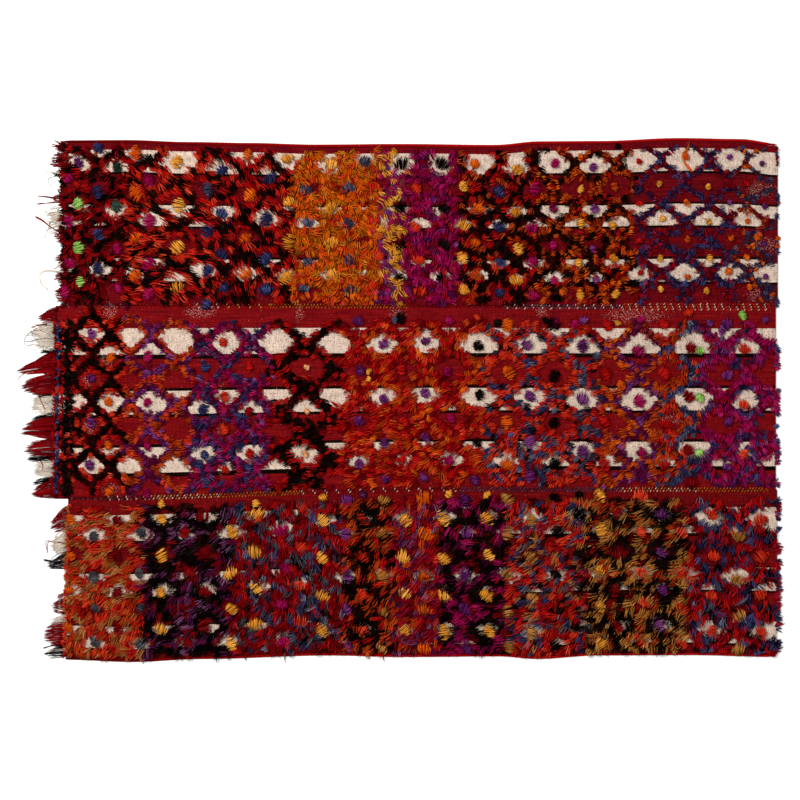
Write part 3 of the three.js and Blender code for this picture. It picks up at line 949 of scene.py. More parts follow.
def section_values(name, x):
    """Each field of the section that each x falls in, as arrays."""
    rows = SECTIONS[name]
    which = np.clip(np.searchsorted([row.until for row in rows], x), 0, len(rows) - 1)
    return Section(*[np.array([row[k] for row in rows])[which] for k in range(len(Section._fields))])


def in_pile(name, x, across, inside=0):
    """True where a panel has pile at all, away from its two long edges."""
    ends, starts = np.array(PILE_START[name]).T
    start = starts[np.clip(np.searchsorted(ends, x), 0, len(ends) - 1)]
    return (across > start + inside) & (across < PANELS[name].width - PILE_STOP[name] - inside)


def knot_places(name, panel):
    """Knots in wandering rows over one whole panel."""
    pitch = MAKING[name].pitch
    columns = np.arange(panel.left_far + FIRST_KNOTS, panel.right - MAKING[name].hem, pitch)
    rows = np.arange(pitch / 2, panel.width, pitch)
    x, across = (a.ravel() for a in np.meshgrid(columns, rows, indexing="ij"))
    x = x + rng.uniform(-KNOT_JITTER, KNOT_JITTER, x.shape) * pitch
    across = across + rng.uniform(-KNOT_JITTER, KNOT_JITTER, x.shape) * pitch
    kept = in_pile(name, x, across)
    return x[kept], across[kept]


def line_half(name, section, across):
    """How wide the lattice lines are at each place, which changes from the far to the near edge."""
    share = (across / PANELS[name].width) ** LINE_GROWTH
    return section.half_far + (section.half_near - section.half_far) * share


def line_width(name, x, across, lozenge):
    """A factor for how wide a line is: less beside a lozenge, which is wider than it is high."""
    half_x, half_y = LOZENGE_HALF[name]
    beside = np.abs(charts[name].x[lozenge] - x) / half_x
    above = np.abs(charts[name].across[lozenge] - across) / half_y
    return np.interp(beside / (beside + above), (0, 1), LINE_WIDTHS)


def drawn(names, picks):
    """One yarn for each pick from 0 to 1, out of the yarns that each name holds."""
    held = [text.split() for text in names]
    return np.array([options[int(pick * len(options))] for options, pick in zip(held, picks)])


def knots_at(name, x, across):
    """Of these places, those in a lattice line, each with its yarn, its section and how far along
    x its lozenge lies."""
    closeness, lozenge = nearest_two(name, x, across)
    section = section_values(name, x + rng.normal(0, SECTION_BLUR, x.shape))
    side = charts[name].x[lozenge] - x
    half = line_half(name, section, across) * line_width(name, x, across, lozenge)
    line = closeness < half * rng.normal(1, LINE_UNEVENNESS, x.shape)
    section = Section(*[values[line] for values in section])
    in_core = closeness[line] < half[line] * CORE_SHARE[name]
    inner = np.where(section.layout == "core", in_core, charts[name].group[lozenge[line]])
    second = rng.random(inner.shape) < np.where(inner, section.inner, section.outer)
    first_yarn = drawn(section.first, rng.random(inner.shape))
    second_yarn = drawn(section.second, rng.random(inner.shape))
    return x[line], across[line], np.where(second, second_yarn, first_yarn), section, side[line]


for name in PANELS:
    print(f"panel {name}: pile on {np.mean(in_pile(name, *corner_places[name])):.0%} of its width")

# %% [markdown]
# The cloth under the pile
#
# The knots of a line cover the warps they are tied to, and the locks over them keep the cloth in
# shade. Packing in enough locks to hide the cloth would cost far too many triangles, so the cloth
# itself takes the deep colour of its knots there, which is their colour and painted shade at once.
# The colour and how much it covers are stored at each corner, and the material reads them.

# %% Knot colour and painted shade
# How far inside the pile its knot colour and painted shade on the cloth keep, at which share of a
# line's width they are half, and over how much of a lozenge they fade.
SHADE_INSIDE = 6
SHADE_MIDDLE = 0.72
SHADE_FADE = 0.22
SHADE_SHARE = 0.5  # of each of the two yarns, in their deepest dye, which adds painted shade


def shade_ground(name):
    """Gives the cloth the deep colour of the yarn knotted where pile stands, as each knot hides the warps;
    that deepest dye is also painted shade under the locks.
    """
    x, across = corner_places[name]
    closeness, lozenge = nearest_two(name, x, across)
    section = section_values(name, x)
    inside = in_pile(name, x, across, SHADE_INSIDE)
    half = line_half(name, section, across) * line_width(name, x, across, lozenge)
    cover = np.clip(0.5 + (half * SHADE_MIDDLE - closeness) / SHADE_FADE, 0, 1) * inside
    deep = {colour: np.array(linear(codes[0])[:3]) for colour, codes in DYES.items()}
    mixed = [
        SHADE_SHARE * (deep[first.split()[0]] + deep[second.split()[0]])
        for first, second in zip(section.first, section.second)
    ]
    values = np.concatenate([np.array(mixed), cover[:, None]], 1)
    knot_colour_and_shade = cloths[name].data.attributes.new("knot_colour_and_shade", "FLOAT_COLOR", "POINT")
    knot_colour_and_shade.data.foreach_set("color", np.tile(values, (2, 1)).astype(np.float32).ravel())


for name in PANELS:
    shade_ground(name)
    print("shaded", cloths[name].name)

# %% [markdown]
# Knotting the pile
#
# Use has combed the locks: those of one section lean the same way, small patches of them turn
# together, and each strays a little. A comb tool could do this to hair by hand. Here the lean is
# the section's own, waves over the rug turn it, and chance adds the rest. At a panel's near edge
# the locks are short, so that its seam stays free.

# %% Pile
# How the locks of one section differ, as shares: their length, rise and width.
LOCK_LENGTH = (0.85, 1.2)
LOCK_RISE = (0.75, 1.15)
LOCK_WIDTH = (0.7, 1.3)
LOCK_SPREAD = 0.4  # how much one lock strays from its patch, as a share of its section's spread
LOCK_OPENING = 0.2
LOCK_TAPER = 0.35
CURL_SPREAD = 160  # the degrees of spread that curl a lock by its own length
BORDER_SLIDE = 0.2  # how far locks beside a core reach into a lozenge, as a share of their length
OUTER_ROWS = 26  # how far in from a near edge the locks are short
OUTER_LENGTH = (0.5, 1.0)  # their length at that edge and at the end of these rows
# Slow turns over the whole rug: degrees, and the millimetres in a radian along and across.
FLOW = ((14, 130, 210), (11, -260, 90))
SWIRL = Ripple(15, 13, (1.7, 31), (1.3, 37))
SWIRL_STRENGTH = 1.3


def flow(x, y):
    """A slow change of direction over the rug, in degrees, as left by years of use."""
    return sum(turn * np.sin(x / along + y / across) for turn, along, across in FLOW)


def swirl(x, y):
    """How far the locks of one small patch turn together, as a share of the section's spread."""
    return SWIRL_STRENGTH * ripple(x, y, SWIRL)


for name, panel in PANELS.items():
    x, across = knot_places(name, panel)
    x, across, colour, section, side = knots_at(name, x, across)
    y = y_on(panel, x, across)
    turned = swirl(x, y) + rng.normal(0, LOCK_SPREAD, x.shape)
    heading = section.lean + flow(x, y) + turned * section.spread
    into_lozenge = np.where(side > 0, 0, 180) + heading - INWARD
    heading = np.radians(np.where(section.lean == INWARD, into_lozenge, heading))
    widest = np.maximum(section.half_far, section.half_near)
    narrow = np.sqrt(line_half(name, section, across) / widest)
    length = section.length * narrow * rng.uniform(*LOCK_LENGTH, x.shape)
    length = np.interp(panel.width - across, (0, OUTER_ROWS), OUTER_LENGTH) * length
    bordering = (section.layout == "core") & (section.lean == INWARD) & (colour != "black")
    slide = np.where(bordering, BORDER_SLIDE, 0) * length
    x, y = x + slide * np.cos(heading), y + slide * np.sin(heading)
    making = MAKING[name]
    pile(name, colour, Locks(
        x=x, y=y, heading=heading, length=length,
        rise=section.rise * rng.uniform(*LOCK_RISE, x.shape),
        curl=rng.normal(0, 1, x.shape) * (making.curl + section.spread / CURL_SPREAD),
        width=making.width * rng.uniform(*LOCK_WIDTH, x.shape),
        opening=making.opening + rng.normal(0, LOCK_OPENING, x.shape),
        taper=LOCK_TAPER, radius=making.radius, strands=making.strands, stray=making.stray,
    ))
    print(f"panel {name}: {len(x)} locks of pile")

# %% [markdown]
# Accent tufts
#
# An accent is a bunch of many short ends from one spot, so it opens into a round tuft. A ball
# with a rough surface would be simpler, but up close an accent is all separate ends, so it is made
# as locks in three layers.

# %% Accents
# Layers from below: strands, shares of the size and the rise, and the radius of a strand.
ACCENT_LAYERS = ((3, 0.8, 0.45, 4.2), (12, 1.0, 0.85, 1.8), (6, 0.62, 1.0, 1.8))
ACCENT_RISE = 12  # of the highest layer
ACCENT_WIDTH = 0.8  # how wide a tuft starts, as a share of its length
ACCENT_OPENING = (0.0, 0.5)  # the least and the most it fans out
ACCENT_SIZE = 1.4  # times the accent length of its section
ACCENT_CURL = 0.15
ACCENT_TAPER = 0.8
ACCENT_DIFFER = 0.7  # how much its strands differ


def accents(panel_name, x, across, yarn, length, lean):
    """Tufts of strands packed side by side in layers, each opening like a shell."""
    y = y_on(PANELS[panel_name], x, across)
    opening = rng.uniform(*ACCENT_OPENING, len(x))
    for strands, size, high, radius in ACCENT_LAYERS:
        pile(panel_name, yarn, Locks(
            x=x, y=y, heading=lean, length=length * size, rise=ACCENT_RISE * high,
            curl=rng.normal(0, ACCENT_CURL, len(x)), width=length * ACCENT_WIDTH * size,
            opening=opening, taper=ACCENT_TAPER, radius=radius, strands=strands, stray=ACCENT_DIFFER,
        ))


print("an accent has", sum(strands for strands, *_ in ACCENT_LAYERS), "strands")

# %% [markdown]
# Placing the accents
#
# The chart says where the accents stand, and some extra ones stand on the plain bands, where the
# weaver used up bright ends. These follow no rule, so they are a list of places.

# %% Accents in place
ACCENT_INSIDE = (14, 12)  # how far from a panel's far and near edge one has to stand
ACCENT_STRAY = 4  # how far one strays from its place in the chart
ACCENT_TURN = 30  # and how many degrees from where the pile leans
ACCENT_VARIETY = (0.85, 1.15)  # of their size
EXTRA_SIZE = 2.3  # times the length in the list
EXTRA_LEAN = (-3, 0)  # radians: towards the near side
Extra = namedtuple("Extra", "x across yarn length")
EXTRAS = {
    "far": [
        (1110, 285, "orange", 14), (680, 10, "black", 9),
    ],
    "middle": [
        (-6, 42, "slate", 11), (246, 34, "scarlet", 12), (311, 52, "black", 14),
        (345, 60, "orange", 12), (455, 42, "black", 10), (487, 46, "magenta", 14),
        (548, 52, "magenta", 13), (575, 42, "purple", 13), (643, 52, "bright_red", 12),
        (677, 50, "gold", 9), (751, 38, "magenta", 12), (896, 18, "scarlet", 14),
        (929, 135, "green", 13), (929, 280, "green", 14), (929, 449, "green", 13),
        (1062, 26, "green", 14), (960, 50, "purple", 11), (1000, 74, "purple", 13),
        (1133, 40, "purple", 10), (686, 238, "orange", 12), (-86, 200, "gold", 9),
        (-86, 222, "gold", 8),
    ],
    "near": [
        (-434, 30, "gold", 13), (-723, 20, "gold", 13), (-425, 76, "orange", 11),
        (123, 106, "scarlet", 13), (120, 216, "scarlet", 13), (-228, 18, "gold", 13),
        (160, 14, "gold", 12), (277, 16, "gold", 12), (560, 16, "black", 12), (625, 14, "gold", 12),
        (740, 20, "scarlet", 14), (-105, 12, "violet", 12),
    ],
}

for name, chart in charts.items():
    far_stop, near_stop = ACCENT_INSIDE
    inside = (chart.across > far_stop) & (chart.across < PANELS[name].width - near_stop)
    shown = (chart.yarn != "-") & inside
    x = chart.x[shown] + rng.normal(0, ACCENT_STRAY, shown.sum())
    across = chart.across[shown] + rng.normal(0, ACCENT_STRAY, shown.sum())
    section = section_values(name, x)
    lean = np.radians(section.lean + 180 + rng.normal(0, ACCENT_TURN, len(x)))
    length = ACCENT_SIZE * section.accent * rng.uniform(*ACCENT_VARIETY, len(x))
    accents(name, x, across, chart.yarn[shown], length, lean)
    extra = Extra(*map(np.array, zip(*EXTRAS[name])))
    extra_lean = rng.uniform(*EXTRA_LEAN, len(extra.x))
    accents(name, extra.x, extra.across, extra.yarn, EXTRA_SIZE * extra.length, extra_lean)
    print(f"panel {name}: {len(x)} accents and {len(extra.x)} extra")

# %% [markdown]
# Tufts at the two ends
#
# At the hemmed end some locks hang over the edge and lie on the floor beside it, and at the
# fringed end of the two outer panels they hide the edge of the cloth. The middle panel starts
# instead with columns of small red, navy and black tufts. One model could be copied along, but
# these are the rug's outline, where likeness would show. Both kinds are rows of small locks, so a
# table says where each row runs and one function makes them all.

# %% End tufts
# Stretches of an end with locks hanging over it: from and to across the panel, reach, and yarns.
Hanging = namedtuple("Hanging", "panel end start stop reach first second")
HANGING = [Hanging(*row) for row in (
    ("far", "left", 0, 500, 25, "dark_red", "black"),
    ("near", "left", 20, 498, 15, "scarlet", "khaki"),
    ("far", "right", 8, 60, 10, "navy", "dark_red"),
    ("far", "right", 150, 185, 16, "navy", "orange"),
    ("far", "right", 210, 225, 16, "navy", "navy"),
    ("far", "right", 285, 330, 16, "navy", "orange"),
    ("far", "right", 480, 500, 16, "navy", "navy"),
    ("middle", "right", 115, 190, 24, "magenta", "navy"),
    ("middle", "right", 254, 330, 24, "magenta", "navy"),
    ("middle", "right", 364, 376, 24, "navy", "navy"),
    ("middle", "right", 408, 484, 24, "magenta", "navy"),
    ("middle", "right", 538, 556, 24, "navy", "magenta"),
    ("near", "right", 32, 92, 24, "crimson", "navy"),
    ("near", "right", 118, 130, 24, "navy", "navy"),
    ("near", "right", 164, 200, 24, "crimson", "navy"),
    ("near", "right", 216, 256, 24, "crimson", "navy"),
    ("near", "right", 262, 430, 24, "crimson", "navy"),
    ("near", "right", 462, 492, 24, "navy", "crimson"),
)]
HANGING_PITCH = 6
HANGING_START = 2.0  # how far past the start of a stretch its first lock is
HANGING_ROOTS = {"left": (2, 14), "right": (5, 11)}  # how far inside the end they are knotted
HANGING_TURN = 0.4  # radians
FIRST_SHARE = 0.6  # of locks in the first yarn

# How small locks differ in length, how wide they start, how much they open, and their radius.
Small = namedtuple("Small", "variety width opening radius")
HANGING_LOCK = Small((0.75, 1.3), 8.0, 0.5, 1.9)
COLUMN_TUFT = Small((0.8, 1.2), 6.0, 0.9, 1.8)
SMALL_RISE = (5, 8)
SMALL_CURL = 0.3
SMALL_TAPER = 0.3
SMALL_STRANDS = 4


def small_locks(panel_name, yarn, x, y, heading, length, small):
    """Short locks in rows, all of one length apart from some variety."""
    pile(panel_name, yarn, Locks(
        x=x, y=y, heading=heading, length=length * rng.uniform(*small.variety, len(x)),
        rise=rng.uniform(*SMALL_RISE, len(x)), curl=rng.normal(0, SMALL_CURL, len(x)),
        width=small.width, opening=small.opening, taper=SMALL_TAPER, radius=small.radius,
        strands=SMALL_STRANDS, stray=1,
    ))


for row in HANGING:
    panel = PANELS[row.panel]
    across = np.arange(row.start, row.stop, HANGING_PITCH) + HANGING_START
    at_left = row.end == "left"
    outward = -1 if at_left else 1
    end_x = left_x(panel, across) if at_left else panel.right
    x = end_x - outward * rng.uniform(*HANGING_ROOTS[row.end], len(across))
    yarn = np.where(rng.random(len(x)) < FIRST_SHARE, row.first, row.second)
    heading = math.pi * at_left + rng.normal(0, HANGING_TURN, len(x))
    small_locks(row.panel, yarn, x + outward * row.reach / 2, y_on(panel, x, across), heading,
                row.reach, HANGING_LOCK)

print(len(HANGING), "stretches of hanging locks")

# %% [markdown]
# Tuft columns
#
# These tufts stand close together in columns of one yarn or a few, each pointing its own way. The
# chart has no rows that close, so they are made on their own.

# %% Tuft columns
COLUMN_SPAN = (46, 552)
COLUMN_SLANT = 8  # how much further left a column's near end is
COLUMN_STRAY = (4, 3)  # along the rug and across it
# Each column down the middle panel's left end: its x, pitch, length and yarns.
TuftColumn = namedtuple("TuftColumn", "x pitch length yarns")
for column in (
    TuftColumn(-1052, 9, 18, "dark_red bright_red dark_red"),
    TuftColumn(-1040, 6.5, 14, "navy navy navy bright_red"),
    TuftColumn(-1027, 8, 16, "bright_red dark_red black"),
    TuftColumn(-1013, 5, 26, "black"),
    TuftColumn(-1000, 5, 26, "black black black black bright_red"),
):
    panel = PANELS["middle"]
    across = np.arange(*COLUMN_SPAN, column.pitch)
    stray_x, stray_y = COLUMN_STRAY
    across = across + rng.uniform(-stray_y, stray_y, len(across))
    slant = COLUMN_SLANT * across / panel.width
    x = column.x - slant + rng.uniform(-stray_x, stray_x, len(across))
    yarn = rng.choice(column.yarns.split(), len(x))
    heading = rng.uniform(-np.pi, np.pi, len(x))
    small_locks("middle", yarn, x, y_on(panel, x, across), heading, column.length, COLUMN_TUFT)
print("batches of pile so far:", sum(len(shells) for shells in pile_baskets.values()))

# %% [markdown]
# Warp fringe
#
# The warps run on past the woven end as a fringe, and handling has drawn them together in
# bunches: the red ones of the middle panel combed and dense, others ragged, the undyed ones
# tangled in loops. In the CAD model a bunch is one solid tongue of a comb. Here it is filled with
# single yarns, because a fringe is mostly gaps and loose ends.

# %% Bunches of fringe
# Each bunch: the stretch of the end it grows from, how far it reaches, where its tip lies and how
# blunt that is, how tangled it is, the pitch of its yarns and their colours.
Bunch = namedtuple("Bunch", "start stop reach tip blunt tangle pitch yarns")
FRINGE = {
    "far": [
        (798, 766, 44, 784, 22, 0.5, 1.3, "dark_red"), (768, 754, 38, 762, 6, 0.7, 1.5, "black cream"),
        (752, 714, 54, 733, 26, 0.4, 1.2, "dark_red"),
        (712, 690, 44, 700, 14, 0.8, 1.4, "black cream black"),
        (636, 606, 50, 622, 12, 0.4, 1.6, "dark_red"), (600, 528, 64, 562, 50, 2.6, 1.0, "cream"),
        (528, 484, 40, 505, 34, 0.7, 1.5, "dark_red"), (452, 426, 36, 440, 14, 0.8, 1.5, "dark_red"),
        (396, 362, 42, 378, 20, 0.6, 1.3, "dark_red"), (350, 300, 44, 325, 34, 0.6, 1.3, "dark_red"),
    ],
    "middle": [
        (286, 236, 64, 250, 26, 0.4, 0.9, "dark_red"), (240, 154, 96, 200, 66, 1.9, 0.7, "cream"),
        (156, 146, 60, 148, 8, 0.5, 0.9, "black"), (150, 84, 138, 92, 26, 0.15, 0.7, "dark_red"),
        (86, 18, 124, 36, 40, 0.3, 0.7, "dark_red"), (22, 12, 70, 14, 8, 0.6, 1.0, "black"),
        (14, -42, 90, -14, 50, 1.6, 0.7, "cream"), (-38, -52, 104, -60, 12, 0.5, 0.8, "black"),
        (-50, -120, 138, -92, 34, 0.2, 0.7, "dark_red"),
        (-116, -172, 118, -150, 40, 0.35, 0.75, "dark_red"),
        (-164, -186, 108, -180, 14, 0.6, 0.9, "black"), (-186, -238, 80, -212, 44, 1.3, 0.7, "cream"),
        (-236, -252, 84, -252, 12, 0.5, 0.8, "black"), (-248, -302, 86, -284, 30, 0.3, 0.7, "dark_red"),
    ],
    "near": [
        (-322, -400, 66, -386, 34, 0.5, 1.5, "dark_red"), (-396, -470, 58, -452, 40, 1.4, 0.8, "cream"),
        (-462, -520, 72, -508, 22, 0.6, 1.1, "black grey"),
        (-596, -616, 36, -604, 12, 0.5, 2.0, "dark_red"),
        (-612, -660, 56, -636, 30, 0.5, 1.3, "dark_red"), (-660, -680, 52, -678, 10, 0.9, 1.4, "cream"),
        (-680, -757, 78, -722, 52, 0.4, 0.9, "dark_red"),
        (-750, -796, 72, -778, 26, 0.8, 1.2, "black black cream"),
    ],
}
FRINGE = {name: [Bunch(*row) for row in rows] for name, rows in FRINGE.items()}
print("bunches:", {name: len(rows) for name, rows in FRINGE.items()})

# %% [markdown]
# Laying the fringe
#
# The yarns of a bunch gather in small locks with a tip of their own. They start on top of the
# cloth, so that its cut edge doesn't show, come down beside it and lie on the floor. A straight
# fan would be simpler, but handled warps curl, so each also turns about its way, more in a
# tangled bunch.

# %% Fringe
FRINGE_RADIUS = 0.95
FRINGE_POINTS = 7
FRINGE_ROOT = 14  # how far inside the cloth's end the fringe yarns start at most
FRINGE_ROOTS = (0.4, 1.0)  # the range of that, as shares
FRINGE_LOCK = 9  # how much of the end gathers in one small lock
FRINGE_INSET = 1  # how far inside the panel's corners the outermost yarns are
FRINGE_LENGTH = (0.8, 1.0)  # how the locks differ in length, and the yarns of a lock too
BUNCH_TAPER = 1.2  # how much shorter the outer locks of a bunch are
LOCK_GATHER = 0.3  # how much of its width a lock keeps at its tip
LOCK_TURN = (1.5, 3)  # how far a lock's tip strays, and how much further for each unit of tangle
YARN_TURN = (1.2, 1)  # the same for one yarn
TIP_GAP = 1.5  # how far the longest tips stay inside the rug's end, and by how much they differ
TIP_RAGGEDNESS = 8
LEAST_GAP = 0.5  # the same for a loop
LOOP_TURN = 3.5  # how much a yarn turns on its way, in radians
LOOP_SIZE = (2, 8)  # how wide, for each unit of tangle
CLOTH_STEP = 3  # how far before and after the cloth's end a yarn comes down from it
FLOOR_HEIGHT = 0.9  # of a yarn's middle where it lies on the floor
FRINGE_LIFT = (0.6, 2.6)  # how much higher it lies at its root, and half as much at its tip
FRINGE_THINNING = 0.75  # at the tip
FRINGE_THICKNESS = (0.8, 1.25)
FRINGE_SHADE = (0.42, 0.1)  # the mean shade of a lock and how much that varies
FRINGE_YARN_SHADE = 0.18


def fringe_of(name, panel):
    """All the warp ends of one panel, bunch by bunch."""
    top = y_on(panel, np.array([float(panel.left_far)]), 0)[0]
    foot = y_on(panel, np.array([float(panel.left_near)]), panel.width)[0]
    share = np.linspace(0, 1, FRINGE_POINTS)
    for bunch in FRINGE[name]:
        start, stop = min(bunch.start, top - FRINGE_INSET), max(bunch.stop, foot + FRINGE_INSET)
        root_y = np.arange(stop, start, bunch.pitch)
        count = len(root_y)
        end_x = left_x(panel, (top - root_y) / (top - foot) * panel.width)

        # Where each yarn is in its lock, and each lock in its bunch, from -0.5 to 0.5.
        lock = ((root_y - stop) // FRINGE_LOCK).astype(int)
        locks = lock.max() + 1
        lock_middle = np.minimum((lock + 0.5) * FRINGE_LOCK, start - stop) / (start - stop) - 0.5
        in_lock = (root_y - stop) / (start - stop) - 0.5 - lock_middle
        reach = bunch.reach * (1 - BUNCH_TAPER * lock_middle ** 2)
        reach = reach * rng.uniform(*FRINGE_LENGTH, locks)[lock]
        reach = reach * rng.uniform(*FRINGE_LENGTH, count)
        last_x = RUG_END + TIP_GAP + rng.uniform(0, TIP_RAGGEDNESS, count)
        tip_x = np.maximum(end_x - reach, last_x)
        tip_y = bunch.tip + bunch.blunt * lock_middle + LOCK_GATHER * (start - stop) * in_lock
        tip_y = tip_y + rng.normal(0, LOCK_TURN[0] + LOCK_TURN[1] * bunch.tangle, locks)[lock]
        tip_y = tip_y + rng.normal(0, YARN_TURN[0] + YARN_TURN[1] * bunch.tangle, count)

        root_x = end_x + FRINGE_ROOT * rng.uniform(*FRINGE_ROOTS, count)
        x = root_x[:, None] + (tip_x - root_x)[:, None] * share
        y = root_y[:, None] + (tip_y - root_y)[:, None] * share ** 2
        turn = rng.uniform(-np.pi, np.pi, (count, 1)) + rng.normal(0, LOOP_TURN, (count, 1)) * share
        size = bunch.tangle * rng.uniform(*LOOP_SIZE, (count, 1)) * np.sqrt(share)
        x = np.maximum(x + size * np.cos(turn), RUG_END + LEAST_GAP)
        y = y + size * np.sin(turn)
        on_cloth = np.clip((x - end_x[:, None] + CLOTH_STEP) / (2 * CLOTH_STEP), 0, 1)
        lift = rng.uniform(*FRINGE_LIFT, (count, 1))
        z = FLOOR_HEIGHT + lift * (1 - 0.5 * share) + (GROUND - FLOOR_HEIGHT) * on_cloth
        z[:, 0] = GROUND - ROOT_DEPTH
        paths = np.stack([x, y, z], -1)
        thinning = np.linspace(1, FRINGE_THINNING, FRINGE_POINTS - 2)
        radius = FRINGE_RADIUS * thinning * rng.uniform(*FRINGE_THICKNESS, (count, 1))
        shade = rng.normal(*FRINGE_SHADE, locks)[lock] + rng.normal(0, FRINGE_YARN_SHADE, count)
        shade = np.clip(shade, *SHADE_LIMITS)
        names = np.array(bunch.yarns.split())
        yarn = names[lock % len(names)]
        for colour in np.unique(yarn):
            chosen = yarn == colour
            put(fringe_baskets, name, colour, paths[chosen], radius[chosen], shade[chosen])
    return foot, top


for name, panel in PANELS.items():
    foot, top = fringe_of(name, panel)
    print(f"fringe {name}: from y {foot:.0f} to {top:.0f}")

# %% [markdown]
# Loose yarns
#
# A few yarns have worked free: loops at the fringed end, some red ends, one long orange strand on
# the far panel. Chance would never lay them where they are, so each is a smooth line through
# given points, laid once or several times side by side.

# %% Loose yarns
# Each yarn: its colour, its radius, how many lie side by side, and points along it.
Loose = namedtuple("Loose", "yarn radius count points")
LOOSE = {
    "far": [
        ("cream", 1.0, 2, [(-1030, 694, 4), (-1060, 700, 2.5), (-1086, 705, 1.5)]),
        ("grey", 0.8, 1, [(-1040, 690, 4), (-1072, 682, 2), (-1070, 664, 1.5), (-1056, 656, 3)]),
        ("dark_red", 1.2, 3, [(-1034, 618, 4), (-1072, 624, 2.2), (-1108, 628, 1.5)]),
        ("dark_red", 1.2, 3, [(-1036, 612, 4), (-1074, 606, 2.2), (-1111, 604, 1.5)]),
        ("dark_red", 1.5, 4, [(-1036, 516, 4), (-1066, 532, 3), (-1092, 552, 2), (-1114, 567, 1.6)]),
        ("cream", 1.0, 3, [(-1066, 548, 3), (-1074, 520, 2), (-1086, 496, 1.5)]),
        ("cream", 1.0, 3, [(-996, 540, 9), (-1020, 534, 8), (-1048, 548, 4), (-1070, 560, 2)]),
        ("cream", 0.9, 3, [(-990, 556, 9), (-1012, 566, 8), (-1044, 572, 4), (-1074, 566, 2)]),
        ("cream", 1.0, 3, [(-1012, 440, 7), (-1044, 414, 5), (-1058, 402, 2)]),
        ("cream", 1.1, 6, [
            (-996, 394, 8), (-1040, 396, 6), (-1082, 398, 1.6), (-1099, 382, 1.4), (-1096, 358, 1.4),
            (-1074, 338, 1.6)]),
        ("orange", 2.0, 3, [
            (902, 800, 6), (892, 772, 8), (880, 752, 9), (884, 730, 9), (896, 716, 8), (908, 700, 7)]),
        ("black", 0.9, 2, [(938, 560, 5), (958, 552, 9), (966, 544, 10), (964, 530, 6)]),
    ],
    "middle": [
        ("dark_red", 1.1, 2, [(-1074, 232, 4), (-1108, 228, 2), (-1126, 222, 1.4)]),
        ("grey", 0.8, 1, [
            (-1064, 200, 4), (-1110, 216, 2), (-1142, 196, 1.4), (-1146, 172, 1.4), (-1120, 166, 2)]),
        ("grey", 0.8, 1, [
            (-1060, 230, 4), (-1096, 226, 2), (-1124, 204, 1.4), (-1104, 184, 1.4), (-1076, 192, 3)]),
        ("black", 0.8, 1, [(-1056, 190, 4), (-1090, 190, 3), (-1120, 182, 2), (-1148, 180, 1.4)]),
        ("dark_red", 1.0, 2, [(-1070, 78, 3), (-1130, 90, 2), (-1160, 74, 1.4), (-1164, 62, 1.4)]),
        ("dark_red", 1.1, 2, [(-1104, 20, 3), (-1094, -8, 3), (-1080, -32, 3)]),
        ("dark_red", 1.0, 2, [(-1100, -184, 3), (-1090, -200, 3), (-1092, -222, 2)]),
    ],
    "near": [
        ("dark_red", 1.1, 2, [(-1014, -448, 4), (-1052, -436, 2), (-1076, -438, 1.4), (-1076, -474, 1.4)]),
        ("dark_red", 1.1, 2, [(-1010, -588, 4), (-1030, -596, 2.5), (-1048, -606, 1.6)]),
        ("black", 1.2, 3, [(-1024, -510, 4), (-1056, -500, 2), (-1090, -492, 1.4)]),
        ("black", 1.2, 3, [(-1026, -762, 4), (-1056, -770, 2), (-1086, -784, 1.4)]),
        ("black", 1.2, 3, [(-1026, -756, 4), (-1060, -756, 2), (-1090, -764, 1.4)]),
    ],
}
print("loose yarns:", {name: len(rows) for name, rows in LOOSE.items()})

# %% [markdown]
# Laying the loose yarns
#
# A Catmull-Rom curve passes through all of its points, which makes it easy to lay a yarn where it
# is in the photo. A Bezier curve would do it too, but its handles would be more numbers to set.

# %% Loose yarns in place
LOOSE_STEPS = 6  # path points between two given ones
LOOSE_APART = 1.6
LOOSE_SHADE = (0.3, 0.8)


def soft_line(points):
    """A smooth line through given points, as a Catmull-Rom curve."""
    points = np.array(points, float)
    padded = np.concatenate([2 * points[:1] - points[1:2], points, 2 * points[-1:] - points[-2:-1]])
    pieces = []
    for a, b, c, d in zip(padded, padded[1:], padded[2:], padded[3:]):
        t = np.linspace(0, 1, LOOSE_STEPS, endpoint=False)[:, None]
        pieces.append(0.5 * (2 * b + (c - a) * t + (2 * a - 5 * b + 4 * c - d) * t ** 2
                             + (3 * b - a - 3 * c + d) * t ** 3))
    return np.concatenate([*pieces, points[-1:]])


for name, rows in LOOSE.items():
    for loose in (Loose(*row) for row in rows):
        for _ in range(loose.count):
            points = np.array(loose.points, float)
            points[:, :2] += rng.normal(0, LOOSE_APART * (loose.count > 1), (len(points), 2))
            baskets = pile_baskets if points[0][0] > 0 else fringe_baskets
            shade = rng.uniform(*LOOSE_SHADE, 1)
            put(baskets, name, loose.yarn, soft_line(points)[None], loose.radius, shade)
print("fringe yarns by panel:", sorted(fringe_baskets))

# %% [markdown]
# Selvedges
#
# Each long side is finished with a bright red cord bound over the last warps. A plain tube would
# follow the edge too, but the cord's slanted stripes come from its twist. It is two plies twisted
# round each other and pressed flat, so it is built as two helices along the edge.

# %% Selvedges
PLY_STEP = 5.2
PLY_TWIST = 26  # the length of one whole turn
PLY_RADIUS = 2.0
PLY_SHADES = (0.42, 0.52)
TWIST_RADIUS = 1.9
TWIST_FLATNESS = 0.55
SELVEDGE_HEIGHT = 2.9
CORE_HEIGHT = 1.5
CORE_STEP = 20
CORE_SHADE = 0.3
CORE_OFFSETS = (-2.6, 0, 2.6)  # bound warps that lie under the plies
CORD_INSET = (2, 1)  # how far inside the panel's left and right end a cord keeps


